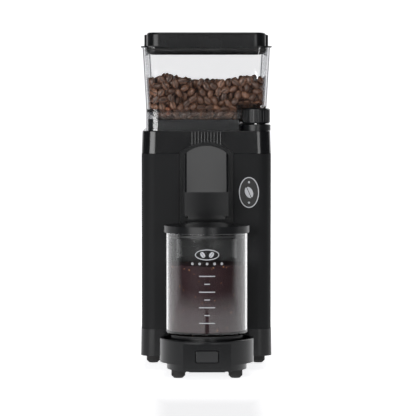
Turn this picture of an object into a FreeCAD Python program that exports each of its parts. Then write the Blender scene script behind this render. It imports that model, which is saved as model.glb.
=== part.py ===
"""Burr coffee grinder, in millimetres.

The frame's origin is on the ground under the middle of the object. +Z is up, the front faces -Y.
Every physical piece is written to parts/ as its own STEP file, in its place on the object.
"""
import FreeCAD, Part
import math
import os

os.makedirs("parts", exist_ok=True)

# ---------------------------------------------------------------- driving dimensions
# clearances
slide_gap = 0.3           # between curved faces that move past each other
running_gap = 0.08        # radial clearance of shafts and guided rings
panel_gap = 0.2           # between outer mouldings that stand side by side

# housing, base and cap
body_width = 133.6        # across the metal housing
front_y = -32.4           # front plane of the housing
back_y = 125.0            # rear plane of the housing
corner_radius = 14.0      # vertical corners of base, housing and cap
sheet = 2.0               # metal housing wall
wall = 2.5                # moulded plastic wall
underside_z = 15.0        # underside of the base block above the ground
base_height = 27.8
housing_height = 181.2
cap_height = 23.3
base_flare = 0.9          # how far the base's foot stands out past the housing, each side
base_step = 0.45          # how far the base's top edge stands out past the housing, each side
cap_draft = 0.85          # how far the cap's top edge draws in, each side
cap_edge_fillet = 0.8
seam_chamfer = 0.5        # round the top of the housing, under the cap
rear_cover_depth = 19.0   # from the sleeve's rear edge to the rear plane

# jar cradle on the base
rim_drop = 3.6            # the cradle's rim below the top of the base
cradle_margin = 5.9       # cradle beyond the jar, all round
cradle_lip = 2.7          # height of the round lip above the flat facet
dish_depth = 5.2
dish_wall = 3.4
cradle_fillet = 0.8
facet_inset = 6.5         # the flat front facet inside the cradle's round
tier_inset = 7.2          # the lower round tier inside the cradle's round
neck_inset = 3.6          # the bridge to the base block inside the cradle's round
platform_inset = 5.2      # the raised stand inside the jar's outside
jar_rise = 4.0            # the jar's foot above the cradle's rim
jar_clearance = 1.7       # between the jar lid and the front plane
mat_thickness = 2.0
mat_inset = 0.5
apron_overlap = 6.0       # how far the facet's apron reaches in over the lower tier
notch_inset = 4.5
notch_width = 3.0
notch_height = 1.3

# power button
button_width = 23.5       # recess
button_height = 12.8
button_rise = 8.5         # the recess's middle above the underside
button_corner = 2.2
button_gap = 0.6          # all round the button in its recess
button_sink = 0.4         # the button's face behind the facet
button_travel = 2.0
button_depth = 11.0
button_fillet = 0.6
plunger_length = 3.0
plunger_radius = 2.5
switch_size = (18.0, 14.0, 12.0)

# feet
foot_radius = 7.0
foot_height = 8.0
foot_chamfer = 2.5
foot_peg_radius = 3.0
foot_peg_height = 3.0
front_foot_inset = 11.6   # front feet's middles inside the lower tier's round
front_foot_ahead = 16.0   # ahead of the cradle's centre
side_foot_inset = 11.1    # side feet's middles inside the housing's sides
middle_foot_behind = 79.5 # behind the front plane
rear_foot_ahead = 17.0    # ahead of the rear plane
foot_boss_radius = 9.5

# hopper
feed_y = 30.0             # vertical axis of the funnel and of the burrs
hopper_margin = 4.8       # the hopper's floor inside the housing's sides
hopper_half_y = 60.4      # outer half depth at the floor
hopper_flare = 3.6        # each side, from the floor up to the rim
hopper_floor_rise = 22.0  # floor above the cap
hopper_height = 63.7      # floor to rim
hopper_wall = 2.0
hopper_corner = 12.0
floor_thickness = 3.2
skirt_wall = 1.6
funnel_shelf_x = 12.0     # width of the shallow outer part of the funnel
funnel_shelf_y = 10.4
throat_radius = 16.8      # inside the spout
spout_wall = 1.8
spout_gap = 1.4           # between the spout and the burr holder
spout_length = 8.0
bean_depth = 29.7
bean_gap = 0.3

# hopper lid, measured from the hopper's rim
lid_body_inset_x = 4.3
lid_body_inset_y = 3.0
lid_grip_inset = 1.6
lid_grip_half_y = 44.0
lid_flange_overhang = 1.9
lid_flange_thickness = 1.3
lid_grip_height = 13.2
lid_height = 15.4
lid_plug_depth = 6.6
lid_plug_inset = 1.6
lid_plug_fillet = 3.0
lid_top_fillet = 2.4
lid_grip_fillet = 0.8
seal_rise = 3.6           # above the plug's underside
seal_depth = 0.9          # groove in the plug
seal_height = 1.8
seal_gap = 0.5            # seal to the hopper's wall

# collar and knob
collar_height = 11.6
collar_gap_y = 0.7        # between collar and skirt, front and rear
knob_radius = 14.4
knob_margin = 0.9         # knob inside the housing's side
knob_base_height = 6.5
knob_gap = 0.8            # between knob and its base
knob_height = 15.7
knob_shaft_radius = 3.0
knob_shaft_depth = 4.0    # top of the shaft below the knob's top
knob_chamfer = 1.2
grip_count = 30
grip_groove_radius = 0.6
pocket_margin = 1.6       # between the knob and its pocket in the hopper, at the side
pocket_margin_back = 2.4  # the same, behind the knob
pocket_headroom = 0.9     # the same, above the knob
pocket_wall = 1.8
name_panel_thickness = 0.35
name_panel_margin = 15.4  # from the collar's left side
name_panel_right = 11.5   # from the knob's pocket
name_panel_border = 1.9   # above and below

# chute
arch_half = 27.3          # outer half width of the chute frame
arch_rise = 11.0          # crown of the frame above the housing's top
arch_spring_rise = 1.0    # where the arch starts, above the housing's top
cover_half = 22.2
cover_rise = 8.0          # top of the cover above the housing's top
cover_bend_drop = 38.6    # the cover's bend below the housing's top
cover_drop = 66.3         # the cover's mouth below the housing's top
cover_reach = 25.6        # how far the bend stands out from the frame
cover_tuck = 1.6          # how far the mouth draws back from the bend
cover_crown = 1.2         # how far the cover bulges in its middle
cover_wall = 2.0
cover_fillet = 2.2
cover_notch = 3.4         # square notches at the mouth's two corners
frame_foot_rise = 17.2    # foot of the frame above the base
frame_proud = 0.8
frame_depth = 3.4
duct_half = 12.0
duct_wall = 1.6
duct_height = 12.0        # of the opening in the chamber
outlet_depth = 15.0
outlet_gap = 3.5          # from the frame to the outlet
outlet_rise = 1.5         # outlet above the cover's mouth
chute_gap = 1.9           # from the jar lid's crown up to the mouth

# jar
jar_radius = 41.7
jar_wall = 2.3
jar_floor = 2.4
jar_foot_fillet = 3.4
jar_rim_fillet = 0.7
grounds_depth = 69.0
grounds_gap = 0.1
jar_lid_overhang = 1.6
jar_lid_side = 7.0
jar_lid_dome = 2.8
jar_lid_border = 0.8      # flat border round the dome
jar_lid_plug_depth = 5.5
jar_lid_plug_gap = 1.4
jar_seal_height = 2.0
jar_seal_rise = 1.4
jar_seal_depth = 0.8

# grinding set
burr_radius = 28.0
burr_hole_radius = 16.0
burr_thickness = 7.0
burr_gap = 1.0            # between the burrs at the middle setting
burr_teeth = 16
burr_rake = 24.0          # degrees
groove_half = 1.1
screw_sink = 1.5          # burr screws' heads below the burr's face
chamber_margin = 3.0      # chamber beyond the burrs
chamber_wall = 5.0
chamber_floor = 4.0
chamber_flange = 4.0
chamber_skirt = 10.0      # from the chamber's floor down to the plate
holder_height = 20.0
holder_drop = 2.8         # holder's top below the cap's inside
carrier_thickness = 6.0
carrier_rise = 1.0        # above the chamber's floor
ring_rise = 0.3           # adjusting ring's top above the holder's top
ring_thickness = 6.0
ring_flange = 8.0         # adjusting ring beyond the chamber

# drive
gear_module = 1.5
gear_room = 5.8           # between the adjusting ring's teeth and the cap's side
gear_room_front = 1.5     # the same, at the front
knob_teeth = 14
drive_teeth = 42
motor_teeth = 14
sector_teeth = 9          # each side of the middle one
tooth_backlash = 0.14
gear_thickness = 7.5
gear_gap = 0.5            # above and below the gears
shaft_radius = 5.0
nut_radius = 7.5
bearing_radius = 11.0
bearing_thickness = 5.0
bearing_housing = 3.0
plate_thickness = 4.0
tray_margin = 4.3         # tray beyond the drive gear's teeth
tray_corner = 20.0
motor_radius = 31.0
motor_height = 82.0
motor_wall = 2.0
motor_shaft_radius = 4.0
rotor_radius = 20.0
magnet_gap = 1.5
post_inset = 12.8         # posts inside the housing's sides
post_radius = 4.0

# small fasteners
screw_radius = 1.5
screw_head_radius = 3.0
screw_head_height = 2.0
screw_slot_half = 0.4
screw_slot_depth = 0.8
rail_inset = 19.3         # rear cover's screws and rails inside the housing's sides
rail_half = 4.0
rail_depth = 12.0
plate_screw_inset = 16.8

# badge
badge_inset = 23.0        # middle of the badge inside the housing's right side
badge_drop = 40.0         # and below the housing's top
badge_half_x = 10.4
badge_half_z = 15.95
badge_thickness = 0.5
badge_proud = 0.15

# ---------------------------------------------------------------- worked-out places
half = body_width / 2
base_top_z = underside_z + base_height
housing_top_z = base_top_z + housing_height
cap_top_z = housing_top_z + cap_height
rear_seam_y = back_y - rear_cover_depth

jar_lid_radius = jar_radius + jar_lid_overhang
cradle_y = front_y - jar_lid_radius - jar_clearance
cradle_radius = jar_radius + cradle_margin
cradle_rim_z = base_top_z - rim_drop
cradle_bottom_z = underside_z + panel_gap
dish_floor_z = cradle_rim_z - dish_depth
facet_y = cradle_y - cradle_radius + facet_inset
facet_half = math.sqrt(cradle_radius ** 2 - (cradle_radius - facet_inset) ** 2)
facet_top_z = cradle_rim_z - cradle_lip
tier_radius = cradle_radius - tier_inset
tier_bottom_z = foot_height
neck_half = cradle_radius - neck_inset
platform_radius = jar_radius - platform_inset
jar_floor_z = cradle_rim_z + jar_rise
platform_top_z = jar_floor_z - mat_thickness
button_z = underside_z + button_rise
plate_line_z = underside_z + wall

front_foot_x = tier_radius - front_foot_inset
side_foot_x = half - side_foot_inset

hopper_half_x = half - hopper_margin
hopper_floor_z = cap_top_z + hopper_floor_rise
hopper_rim_z = hopper_floor_z + hopper_height
rim_half_x = hopper_half_x + hopper_flare
rim_half_y = hopper_half_y + hopper_flare
hopper_front = feed_y - hopper_half_y
hopper_back = feed_y + hopper_half_y
bean_level_z = hopper_floor_z + bean_depth
collar_half_x = hopper_half_x - skirt_wall - panel_gap
collar_front = hopper_front + skirt_wall + collar_gap_y
collar_back = hopper_back - skirt_wall - collar_gap_y
collar_top_z = cap_top_z + collar_height
spout_radius = throat_radius + spout_wall

knob_x = half - knob_radius - knob_margin
knob_base_top_z = cap_top_z + knob_base_height
knob_bottom_z = knob_base_top_z + knob_gap
knob_top_z = knob_bottom_z + knob_height

gear_tip = 0.8 * gear_module
adjust_reach = min(half - wall - gear_room, feed_y - front_y - wall - gear_room_front) - gear_tip
adjust_teeth = int(2 * adjust_reach / gear_module)
adjust_distance = gear_module * (adjust_teeth + knob_teeth) / 2
knob_y = feed_y - math.sqrt(adjust_distance ** 2 - knob_x ** 2)
pocket_x = knob_x - knob_radius - pocket_margin
pocket_y = knob_y + knob_radius + pocket_margin_back
pocket_top_z = knob_top_z + pocket_headroom

arch_top_z = housing_top_z + arch_rise
arch_spring_z = housing_top_z + arch_spring_rise
cover_top_z = housing_top_z + cover_rise
cover_bend_z = housing_top_z - cover_bend_drop
cover_bottom_z = housing_top_z - cover_drop
frame_bottom_z = base_top_z + frame_foot_rise
frame_front_y = front_y - frame_proud

jar_lid_edge_z = cover_bottom_z - chute_gap - jar_lid_dome
jar_top_z = jar_lid_edge_z - jar_lid_side
jar_lid_plug_z = jar_top_z - jar_lid_plug_depth
grounds_z = jar_floor_z + jar_floor + grounds_depth

holder_top_z = cap_top_z - wall - holder_drop
holder_seat_z = holder_top_z - holder_height
ring_top_z = holder_top_z + ring_rise
ring_bottom_z = ring_top_z - ring_thickness
spout_bottom_z = holder_top_z + spout_gap
chamber_bore = burr_radius + chamber_margin
chamber_radius = chamber_bore + chamber_wall
chamber_top_z = ring_bottom_z - slide_gap
ring_radius = chamber_radius + ring_flange
lower_burr_top_z = holder_seat_z - burr_thickness - burr_gap
lower_burr_bottom_z = lower_burr_top_z - burr_thickness
carrier_z = lower_burr_bottom_z - carrier_thickness
chamber_floor_top_z = carrier_z - carrier_rise
chamber_floor_z = chamber_floor_top_z - chamber_floor
plate_top_z = chamber_floor_z - chamber_skirt
plate_bottom_z = plate_top_z - plate_thickness
gear_top_z = plate_bottom_z - gear_gap
gear_bottom_z = gear_top_z - gear_thickness
lower_bearing_z = gear_bottom_z - gear_gap - bearing_thickness
tray_floor_z = lower_bearing_z - wall
motor_y = feed_y + gear_module * (drive_teeth + motor_teeth) / 2
motor_bottom_z = tray_floor_z - motor_height
tray_half_x = gear_module * drive_teeth / 2 + gear_tip + tray_margin
tray_front = feed_y - tray_half_x
tray_back = motor_y + tray_half_x - 4
post_x = half - post_inset


# ---------------------------------------------------------------- shape helpers
def vec(x, y, z):
    return FreeCAD.Vector(x, y, z)


def save(shape, node):
    shape.exportStep("parts/" + node + ".step")


def box(x0, x1, y0, y1, z0, z1):
    return Part.makeBox(x1 - x0, y1 - y0, z1 - z0, vec(x0, y0, z0))


def rod(x, y, z0, z1, radius):
    return Part.makeCylinder(radius, z1 - z0, vec(x, y, z0))


def rod_y(x, z, y0, y1, radius):
    return Part.makeCylinder(radius, y1 - y0, vec(x, y0, z), vec(0, 1, 0))


def ring(x, y, z0, z1, outer, inner):
    return rod(x, y, z0, z1, outer).cut(rod(x, y, z0, z1, inner))


def join(shapes):
    whole = shapes[0]
    if len(shapes) > 1:
        whole = whole.fuse(shapes[1:])
    return whole.removeSplitter()


def group(shapes):
    return Part.makeCompound(shapes)


def rounded_outline(half_x, y0, y1, z, radius):
    """Closed wire of a rectangle with round corners, level at height z."""
    edges = []
    corners = [(half_x, y0, -90), (half_x, y1, 0), (-half_x, y1, 90), (-half_x, y0, 180)]
    points = []
    for x, y, start in corners:
        cx = x - math.copysign(radius, x)
        cy = y0 + radius if y == y0 else y1 - radius
        for turn in (0, 45, 90):
            angle = math.radians(start + turn)
            points.append(vec(cx + radius * math.cos(angle), cy + radius * math.sin(angle), z))
    for corner in range(4):
        a, b, c = points[3 * corner:3 * corner + 3]
        edges.append(Part.Arc(a, b, c).toShape())
        edges.append(Part.LineSegment(c, points[(3 * corner + 3) % 12]).toShape())
    return Part.Wire(edges)


def rounded_block(half_x, y0, y1, z0, z1, radius):
    face = Part.Face(rounded_outline(half_x, y0, y1, z0, radius))
    return face.extrude(vec(0, 0, z1 - z0))


def tapered_block(lower, upper):
    """Solid between two level round-cornered outlines."""
    return Part.makeLoft([rounded_outline(*lower), rounded_outline(*upper)], True, True)


def prism_x(points_yz, x0, x1):
    """Polygon in the Y-Z plane, pulled out from x0 to x1."""
    corners = [vec(x0, y, z) for y, z in points_yz]
    face = Part.Face(Part.makePolygon(corners + [corners[0]]))
    return face.extrude(vec(x1 - x0, 0, 0))


def turned(points_rz, x, y):
    """Polygon of radius and height, spun about the vertical axis through x, y."""
    corners = [vec(r, 0, z) for r, z in points_rz]
    face = Part.Face(Part.makePolygon(corners + [corners[0]]))
    solid = face.revolve(vec(0, 0, 0), vec(0, 0, 1), 360)
    solid.translate(vec(x, y, 0))
    return solid


def edges_at(shape, z):
    """Edges that lie level at height z."""
    tolerance = 0.001
    return [e for e in shape.Edges
            if abs(e.BoundBox.ZMin - z) < tolerance and abs(e.BoundBox.ZMax - z) < tolerance]


def screw_down(x, y, head_top_z, length):
    """Pan-head screw, head up, shank pointing down."""
    head_bottom = head_top_z - screw_head_height
    head = rod(x, y, head_bottom, head_top_z, screw_head_radius)
    slot = box(x - 2, x + 2, y - screw_slot_half, y + screw_slot_half,
               head_top_z - screw_slot_depth, head_top_z)
    return join([head.cut(slot), rod(x, y, head_bottom - length, head_bottom, screw_radius)])


def screw_up(x, y, head_bottom_z, length):
    """Pan-head screw, head down, shank pointing up."""
    head_top = head_bottom_z + screw_head_height
    head = rod(x, y, head_bottom_z, head_top, screw_head_radius)
    slot = box(x - 2, x + 2, y - screw_slot_half, y + screw_slot_half,
               head_bottom_z, head_bottom_z + screw_slot_depth)
    return join([head.cut(slot), rod(x, y, head_top, head_top + length, screw_radius)])


def tooth_outline(teeth, tooth_numbers, phase):
    """Points of the numbered teeth, anticlockwise; tooth 0 is centred on the angle phase (degrees)."""
    pitch_radius = gear_module * teeth / 2
    base_radius = pitch_radius * math.cos(math.radians(20))
    tip_radius = pitch_radius + gear_tip
    root_radius = pitch_radius - 1.05 * gear_module
    half_tooth = math.pi / (2 * teeth) - tooth_backlash / (2 * pitch_radius)

    def roll(radius):
        if radius <= base_radius:
            return 0.0
        pressure = math.acos(base_radius / radius)
        return math.tan(pressure) - pressure

    flank_start = max(base_radius, root_radius)
    flank = [flank_start + (tip_radius - flank_start) * step / 3 for step in range(4)]
    points = []
    for number in tooth_numbers:
        centre = math.radians(phase) + 2 * math.pi * number / teeth
        rise = [(r, centre - half_tooth - roll(pitch_radius) + roll(r)) for r in flank]
        fall = [(r, centre + half_tooth + roll(pitch_radius) - roll(r)) for r in reversed(flank)]
        if flank_start > root_radius:
            rise = [(root_radius, rise[0][1])] + rise
            fall = fall + [(root_radius, fall[-1][1])]
        points += rise + fall
    return [(r * math.cos(a), r * math.sin(a)) for r, a in points]


def toothed_wheel(teeth, x, y, z0, z1, phase):
    outline = [vec(x + px, y + py, z0) for px, py in tooth_outline(teeth, range(teeth), phase)]
    return Part.Face(Part.makePolygon(outline + [outline[0]])).extrude(vec(0, 0, z1 - z0))


def arch_prism(half_width, spring_z, top_z, bottom_z, y0, y1):
    """Upright panel with a shallow round arch on top, pulled out from y0 to y1."""
    left = vec(-half_width, y0, spring_z)
    right = vec(half_width, y0, spring_z)
    crown = Part.Arc(left, vec(0, y0, top_z), right).toShape()
    sides = [vec(half_width, y0, spring_z), vec(half_width, y0, bottom_z),
             vec(-half_width, y0, bottom_z), vec(-half_width, y0, spring_z)]
    outline = [crown] + [Part.LineSegment(a, b).toShape() for a, b in zip(sides, sides[1:])]
    return Part.Face(Part.Wire(outline)).extrude(vec(0, y1 - y0, 0))


# ---------------------------------------------------------------- base, its plate and feet
def base_envelope(inset, z0, z1):
    """Rounded block of the base, drawn in by inset on every side."""
    low = (half + base_flare - inset, front_y + inset, back_y - inset, z0, corner_radius - inset)
    high = (half + base_step - inset, front_y + inset, back_y - inset, z1, corner_radius - inset)
    return tapered_block(low, high)


plate_screw_x = half - plate_screw_inset
screw_places = [(0, cradle_y + platform_radius / 2)]
post_places = []
for side in (-1, 1):
    screw_places += [(side * plate_screw_x, front_y + 32.4), (side * plate_screw_x, back_y - 35)]
    post_places += [(side * post_x, tray_front + 9), (side * post_x, tray_back - 7)]
foot_places = []
for side in (-1, 1):
    foot_places.append((side * front_foot_x, cradle_y - front_foot_ahead))
    foot_places.append((side * side_foot_x, front_y + middle_foot_behind))
    foot_places.append((side * side_foot_x, back_y - rear_foot_ahead))

block = base_envelope(0, underside_z, base_top_z)
drum = rod(0, cradle_y, cradle_bottom_z, cradle_rim_z, cradle_radius)
drum = drum.makeFillet(cradle_fillet, edges_at(drum, cradle_rim_z))
drum = drum.cut(box(-facet_half - 1, facet_half + 1, cradle_y - cradle_radius - 1, facet_y,
                    underside_z - 1, facet_top_z))
apron = box(-facet_half, facet_half, facet_y, cradle_y - tier_radius + apron_overlap, tier_bottom_z,
            facet_top_z)
for side in (-1, 1):
    notch_middle = side * (facet_half - notch_inset)
    apron = apron.cut(box(notch_middle - notch_width / 2, notch_middle + notch_width / 2, facet_y - 1,
                          cradle_y, tier_bottom_z - 1, tier_bottom_z + notch_height))
neck = box(-neck_half, neck_half, cradle_y, front_y + corner_radius, cradle_bottom_z, cradle_rim_z)
outer = join([block, drum, neck, apron])

dish = rod(0, cradle_y, dish_floor_z, cradle_rim_z + 5, cradle_radius - dish_wall)
dish = dish.cut([block, box(-facet_half, facet_half, cradle_y - cradle_radius, facet_y + wall,
                           dish_floor_z - 1, cradle_rim_z + 6)])
platform = rod(0, cradle_y, dish_floor_z - wall, platform_top_z, platform_radius)
hollow_block = base_envelope(wall, underside_z - 1, base_top_z - wall)
hollow_drum = rod(0, cradle_y, tier_bottom_z - 1, dish_floor_z - wall, cradle_radius - dish_wall)
hollow_drum = hollow_drum.cut(box(-cradle_radius, cradle_radius, cradle_y - cradle_radius, facet_y + wall,
                                  tier_bottom_z - 1, dish_floor_z))
hollow_neck = box(-neck_half + wall, neck_half - wall, cradle_y, front_y + corner_radius, tier_bottom_z,
                  dish_floor_z - wall)
hollow_platform = rod(0, cradle_y, dish_floor_z - wall - 1, platform_top_z - wall, platform_radius - wall)
base = outer.cut(dish).fuse(platform)
base = base.cut(join([hollow_block, hollow_drum, hollow_neck, hollow_platform]))

bosses = []
for x, y in screw_places:
    top = base_top_z - wall if y > front_y else platform_top_z - wall
    hole = rod(x, y, plate_line_z, plate_line_z + 8, screw_radius)
    bosses.append(rod(x, y, plate_line_z, top, 4.0).cut(hole))
base = base.fuse(bosses)

button_recess = rounded_block(button_width / 2, -button_height / 2, button_height / 2, 0, button_depth,
                              button_corner)
button_recess.rotate(vec(0, 0, 0), vec(1, 0, 0), 90)
button_recess.translate(vec(0, facet_y + button_depth / 2, button_z))
base = base.cut(button_recess)

gland_x = -half + 26.8
gland_z = underside_z + 13
gland_radius = 6.5
base = base.cut(rod_y(gland_x, gland_z, back_y - wall - 1, back_y + 1, gland_radius))
deck_hole = rounded_block(half - 26.8, motor_y - 54, motor_y + 32, base_top_z - wall - 1, base_top_z + 1, 8)
base = base.cut(deck_hole).removeSplitter()
save(base, "base")

plate = base_envelope(wall + panel_gap, underside_z, plate_line_z)
drum_plate = rod(0, cradle_y, cradle_bottom_z, plate_line_z, cradle_radius - dish_wall - panel_gap)
neck_plate = box(-neck_half + wall + panel_gap, neck_half - wall - panel_gap, cradle_y,
                 front_y + corner_radius, cradle_bottom_z, plate_line_z)
drum_plate = join([drum_plate, neck_plate])
tier = rod(0, cradle_y, tier_bottom_z, cradle_bottom_z, tier_radius)
tier_hollow = rod(0, cradle_y, tier_bottom_z + wall, plate_line_z + 1, tier_radius - wall)
plate = join([plate.cut(tier_hollow), drum_plate.cut(tier_hollow), tier.cut(tier_hollow)])
plate = plate.cut(box(-cradle_radius, cradle_radius, cradle_y - cradle_radius - 1, facet_y + wall + panel_gap,
                      tier_bottom_z - 1, plate_line_z + 1))
for x, y in foot_places:
    if y > front_y:
        plate = plate.fuse(rod(x, y, foot_height, underside_z, foot_boss_radius))
for x, y in screw_places:
    if y < front_y:
        plate = plate.fuse(rod(x, y, tier_bottom_z + wall, plate_line_z, 5.0))
        plate = plate.cut(rod(x, y, tier_bottom_z - 1, underside_z, screw_head_radius + panel_gap))
    plate = plate.cut(rod(x, y, underside_z - 1, plate_line_z + 1, screw_radius))
for x, y in foot_places:
    plate = plate.cut(rod(x, y, foot_height - 1, foot_height + foot_peg_height, foot_peg_radius))
save(plate.removeSplitter(), "base_plate")

feet = []
for x, y in foot_places:
    foot = rod(x, y, 0, foot_height, foot_radius)
    foot = foot.makeChamfer(foot_chamfer, edges_at(foot, 0)[:1])
    peg = rod(x, y, foot_height, foot_height + foot_peg_height, foot_peg_radius)
    feet.append(join([foot, peg]))
save(group(feet), "feet")
save(group([screw_up(x, y, underside_z - screw_head_height, 10.0) for x, y in screw_places]), "base_screws")
save(rod(0, cradle_y, platform_top_z, jar_floor_z, platform_radius - mat_inset), "jar_mat")

# ---------------------------------------------------------------- power button and switch
button = rounded_block(button_width / 2 - button_gap, -button_height / 2 + button_gap,
                       button_height / 2 - button_gap, 0, button_depth, button_corner - button_gap)
button.rotate(vec(0, 0, 0), vec(1, 0, 0), 90)
button.translate(vec(0, facet_y + button_depth + button_sink, button_z))
face_edges = [e for e in button.Edges if e.BoundBox.YMax < facet_y + button_sink + 0.01]
button = button.makeFillet(button_fillet, face_edges)
plunger_y = facet_y + button_sink + button_depth
plunger = rod_y(0, button_z, plunger_y, plunger_y + plunger_length, plunger_radius)
save(join([button, plunger]), "power_button")
switch_y = plunger_y + plunger_length + button_travel + panel_gap
switch_back = switch_y + switch_size[1]
switch = box(-switch_size[0] / 2, switch_size[0] / 2, switch_y, switch_back, button_z - switch_size[2] / 2,
             button_z + switch_size[2] / 2)
terminals = [box(x - 1, x + 1, switch_back, switch_back + 4, button_z - 3, button_z - 2) for x in (-5, 5)]
save(join([switch] + terminals), "power_switch")

# ---------------------------------------------------------------- housing, rear cover and cap
sleeve = rounded_block(half, front_y, back_y, base_top_z, housing_top_z, corner_radius)
sleeve = sleeve.makeChamfer(seam_chamfer, edges_at(sleeve, housing_top_z))
sleeve = sleeve.cut(rounded_block(half - sheet, front_y + sheet, back_y - sheet, base_top_z - 1,
                                  housing_top_z + 1, corner_radius - sheet))
frame_hole = arch_prism(arch_half + panel_gap, arch_spring_z, arch_top_z, frame_bottom_z - panel_gap,
                        front_y - 5, front_y + 8)
housing = sleeve.cut(frame_hole)
housing = housing.cut(box(-half - 1, half + 1, rear_seam_y, back_y + 1, base_top_z - 1, housing_top_z + 1))
badge_back_y = front_y + badge_thickness - badge_proud
badge_x = half - badge_inset
badge_z = housing_top_z - badge_drop
badge_plate = Part.Ellipse(vec(0, 0, 0), badge_half_z, badge_half_x).toShape()
badge_plate = Part.Face(Part.Wire(badge_plate)).extrude(vec(0, 0, badge_thickness))
badge_plate.rotate(vec(0, 0, 0), vec(0, 0, 1), 90)
badge_plate.rotate(vec(0, 0, 0), vec(1, 0, 0), 90)
badge_plate.translate(vec(badge_x, badge_back_y, badge_z))
save(housing.cut(badge_plate), "housing")
save(badge_plate, "badge")

rear_cover = sleeve.cut(box(-half - 1, half + 1, front_y - 1, rear_seam_y + panel_gap, base_top_z - 1,
                            housing_top_z + 1))
vent_pitch = 7.0
vent_half = 32.0
for row in range(9):
    vent_z = base_top_z + 25 + row * vent_pitch
    vent = box(-vent_half, vent_half, back_y - sheet - 1, back_y + 1, vent_z, vent_z + 3.0)
    rear_cover = rear_cover.cut(vent)
rail_x = half - rail_inset
rear_screw_places = []
for side in (-1, 1):
    rear_screw_places += [(side * rail_x, base_top_z + 9.2), (side * rail_x, housing_top_z - 10)]
rails = []
for side in (-1, 1):
    rails.append(box(side * rail_x - rail_half, side * rail_x + rail_half, back_y - sheet - rail_depth,
                     back_y - sheet, base_top_z, housing_top_z))
for x, z in rear_screw_places:
    rear_cover = rear_cover.cut(rod_y(x, z, back_y - sheet - 1, back_y + 1, screw_radius))
    pocket = rod_y(x, z, back_y - 1.0, back_y + 1, screw_head_radius + panel_gap)
    rear_cover = rear_cover.cut(pocket)
    rails = [rail.cut(rod_y(x, z, back_y - sheet - 8, back_y, screw_radius)) for rail in rails]
save(rear_cover, "rear_cover")
save(group(rails), "cover_rails")
rear_screws = []
for x, z in rear_screw_places:
    head = rod_y(x, z, back_y - 1.0, back_y, screw_head_radius)
    head = head.cut(box(x - 2, x + 2, back_y - 0.5, back_y + 1, z - 0.4, z + 0.4))
    rear_screws.append(join([head, rod_y(x, z, back_y - sheet - 8, back_y - 1.0, screw_radius)]))
save(group(rear_screws), "rear_screws")

gland = rod_y(gland_x, gland_z, back_y - wall - 4, back_y, gland_radius)
flange = rod_y(gland_x, gland_z, back_y - wall - 2, back_y - wall, gland_radius + 2)
gland = join([gland, flange]).cut(rod_y(gland_x, gland_z, back_y - wall - 5, back_y + 1, 3.6))
save(gland, "cord_gland")


def cap_envelope(inset, z0, z1):
    """Cap block with its slight draft, drawn in by inset on every side."""
    low = (half - inset, front_y + inset, back_y - inset, z0, corner_radius - inset)
    high = (half - cap_draft - inset, front_y + cap_draft + inset, back_y - cap_draft - inset, z1,
            corner_radius - inset)
    return tapered_block(low, high)


cap = cap_envelope(0, housing_top_z, cap_top_z)
cap = cap.makeFillet(cap_edge_fillet, edges_at(cap, cap_top_z))
cap = cap.cut(cap_envelope(wall, housing_top_z - 1, cap_top_z - wall))
rib_pitch = 3.26
rib_width = 1.7
rib_proud = 0.9
rib_fillet = 0.75
ribs = []
for number in range(10):
    x = (number - 4.5) * rib_pitch
    rib = prism_x([(front_y - rib_proud + 0.3, housing_top_z + 1),
                   (front_y + 1.5, housing_top_z + 1),
                   (front_y + cap_draft + 1.5, cap_top_z - 0.9),
                   (front_y + cap_draft - rib_proud, cap_top_z - 0.9)],
                  x - rib_width / 2, x + rib_width / 2)
    crests = [e for e in rib.Edges if e.BoundBox.ZLength > 10 and e.BoundBox.YMin < front_y]
    ribs.append(rib.makeFillet(rib_fillet, crests))
cap = cap.fuse(ribs)
cap = cap.cut(arch_prism(arch_half + panel_gap, arch_spring_z, arch_top_z + panel_gap, housing_top_z - 9,
                         front_y - 5, front_y + 8))
cap = cap.cut(rod(0, feed_y, cap_top_z - wall - 1, cap_top_z + 1, spout_radius + 2.0))
cap = cap.cut(rod(knob_x, knob_y, cap_top_z - wall - 1, cap_top_z + 1, knob_shaft_radius + slide_gap))
save(cap.removeSplitter(), "top_cap")

# ---------------------------------------------------------------- chute
frame = arch_prism(arch_half, arch_spring_z, arch_top_z, frame_bottom_z, frame_front_y, front_y + frame_depth)
frame = frame.cut(arch_prism(cover_half - cover_wall, arch_spring_z - 2, cover_top_z - cover_wall,
                             cover_bottom_z, frame_front_y - 1, front_y + frame_depth + 1))
save(frame, "chute_frame")


def cover_section(z, reach, inset):
    """Level outline of the chute cover: straight back at the frame, bulged front."""
    side = cover_half - inset
    back = frame_front_y
    shoulder = back - max(reach - inset, 0.4)
    left = vec(-side, shoulder, z)
    right = vec(side, shoulder, z)
    front = Part.Arc(left, vec(0, shoulder - cover_crown * min(1, reach / 8), z), right).toShape()
    corners = [right, vec(side, back, z), vec(-side, back, z), left]
    return Part.Wire([front] + [Part.LineSegment(a, b).toShape() for a, b in zip(corners, corners[1:])])


def cover_solid(inset, floor_z):
    mouth = cover_section(floor_z, cover_reach - cover_tuck, inset)
    bend = cover_section(cover_bend_z, cover_reach, inset)
    top = cover_section(arch_top_z, 1.0, inset)
    lower = Part.makeLoft([mouth, bend], True, True)
    upper = Part.makeLoft([bend, top], True, True)
    side_edges = [e for e in upper.Edges if e.BoundBox.ZLength > 20 and e.BoundBox.YMin < frame_front_y - 5]
    upper = upper.makeFillet(cover_fillet, side_edges)
    shape = lower.fuse(upper)
    trim = arch_prism(cover_half - inset, arch_spring_z - 1.5, cover_top_z - inset, floor_z - 1,
                      frame_front_y - cover_reach - cover_crown - 2, front_y + 5)
    return shape.common(trim)


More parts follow.
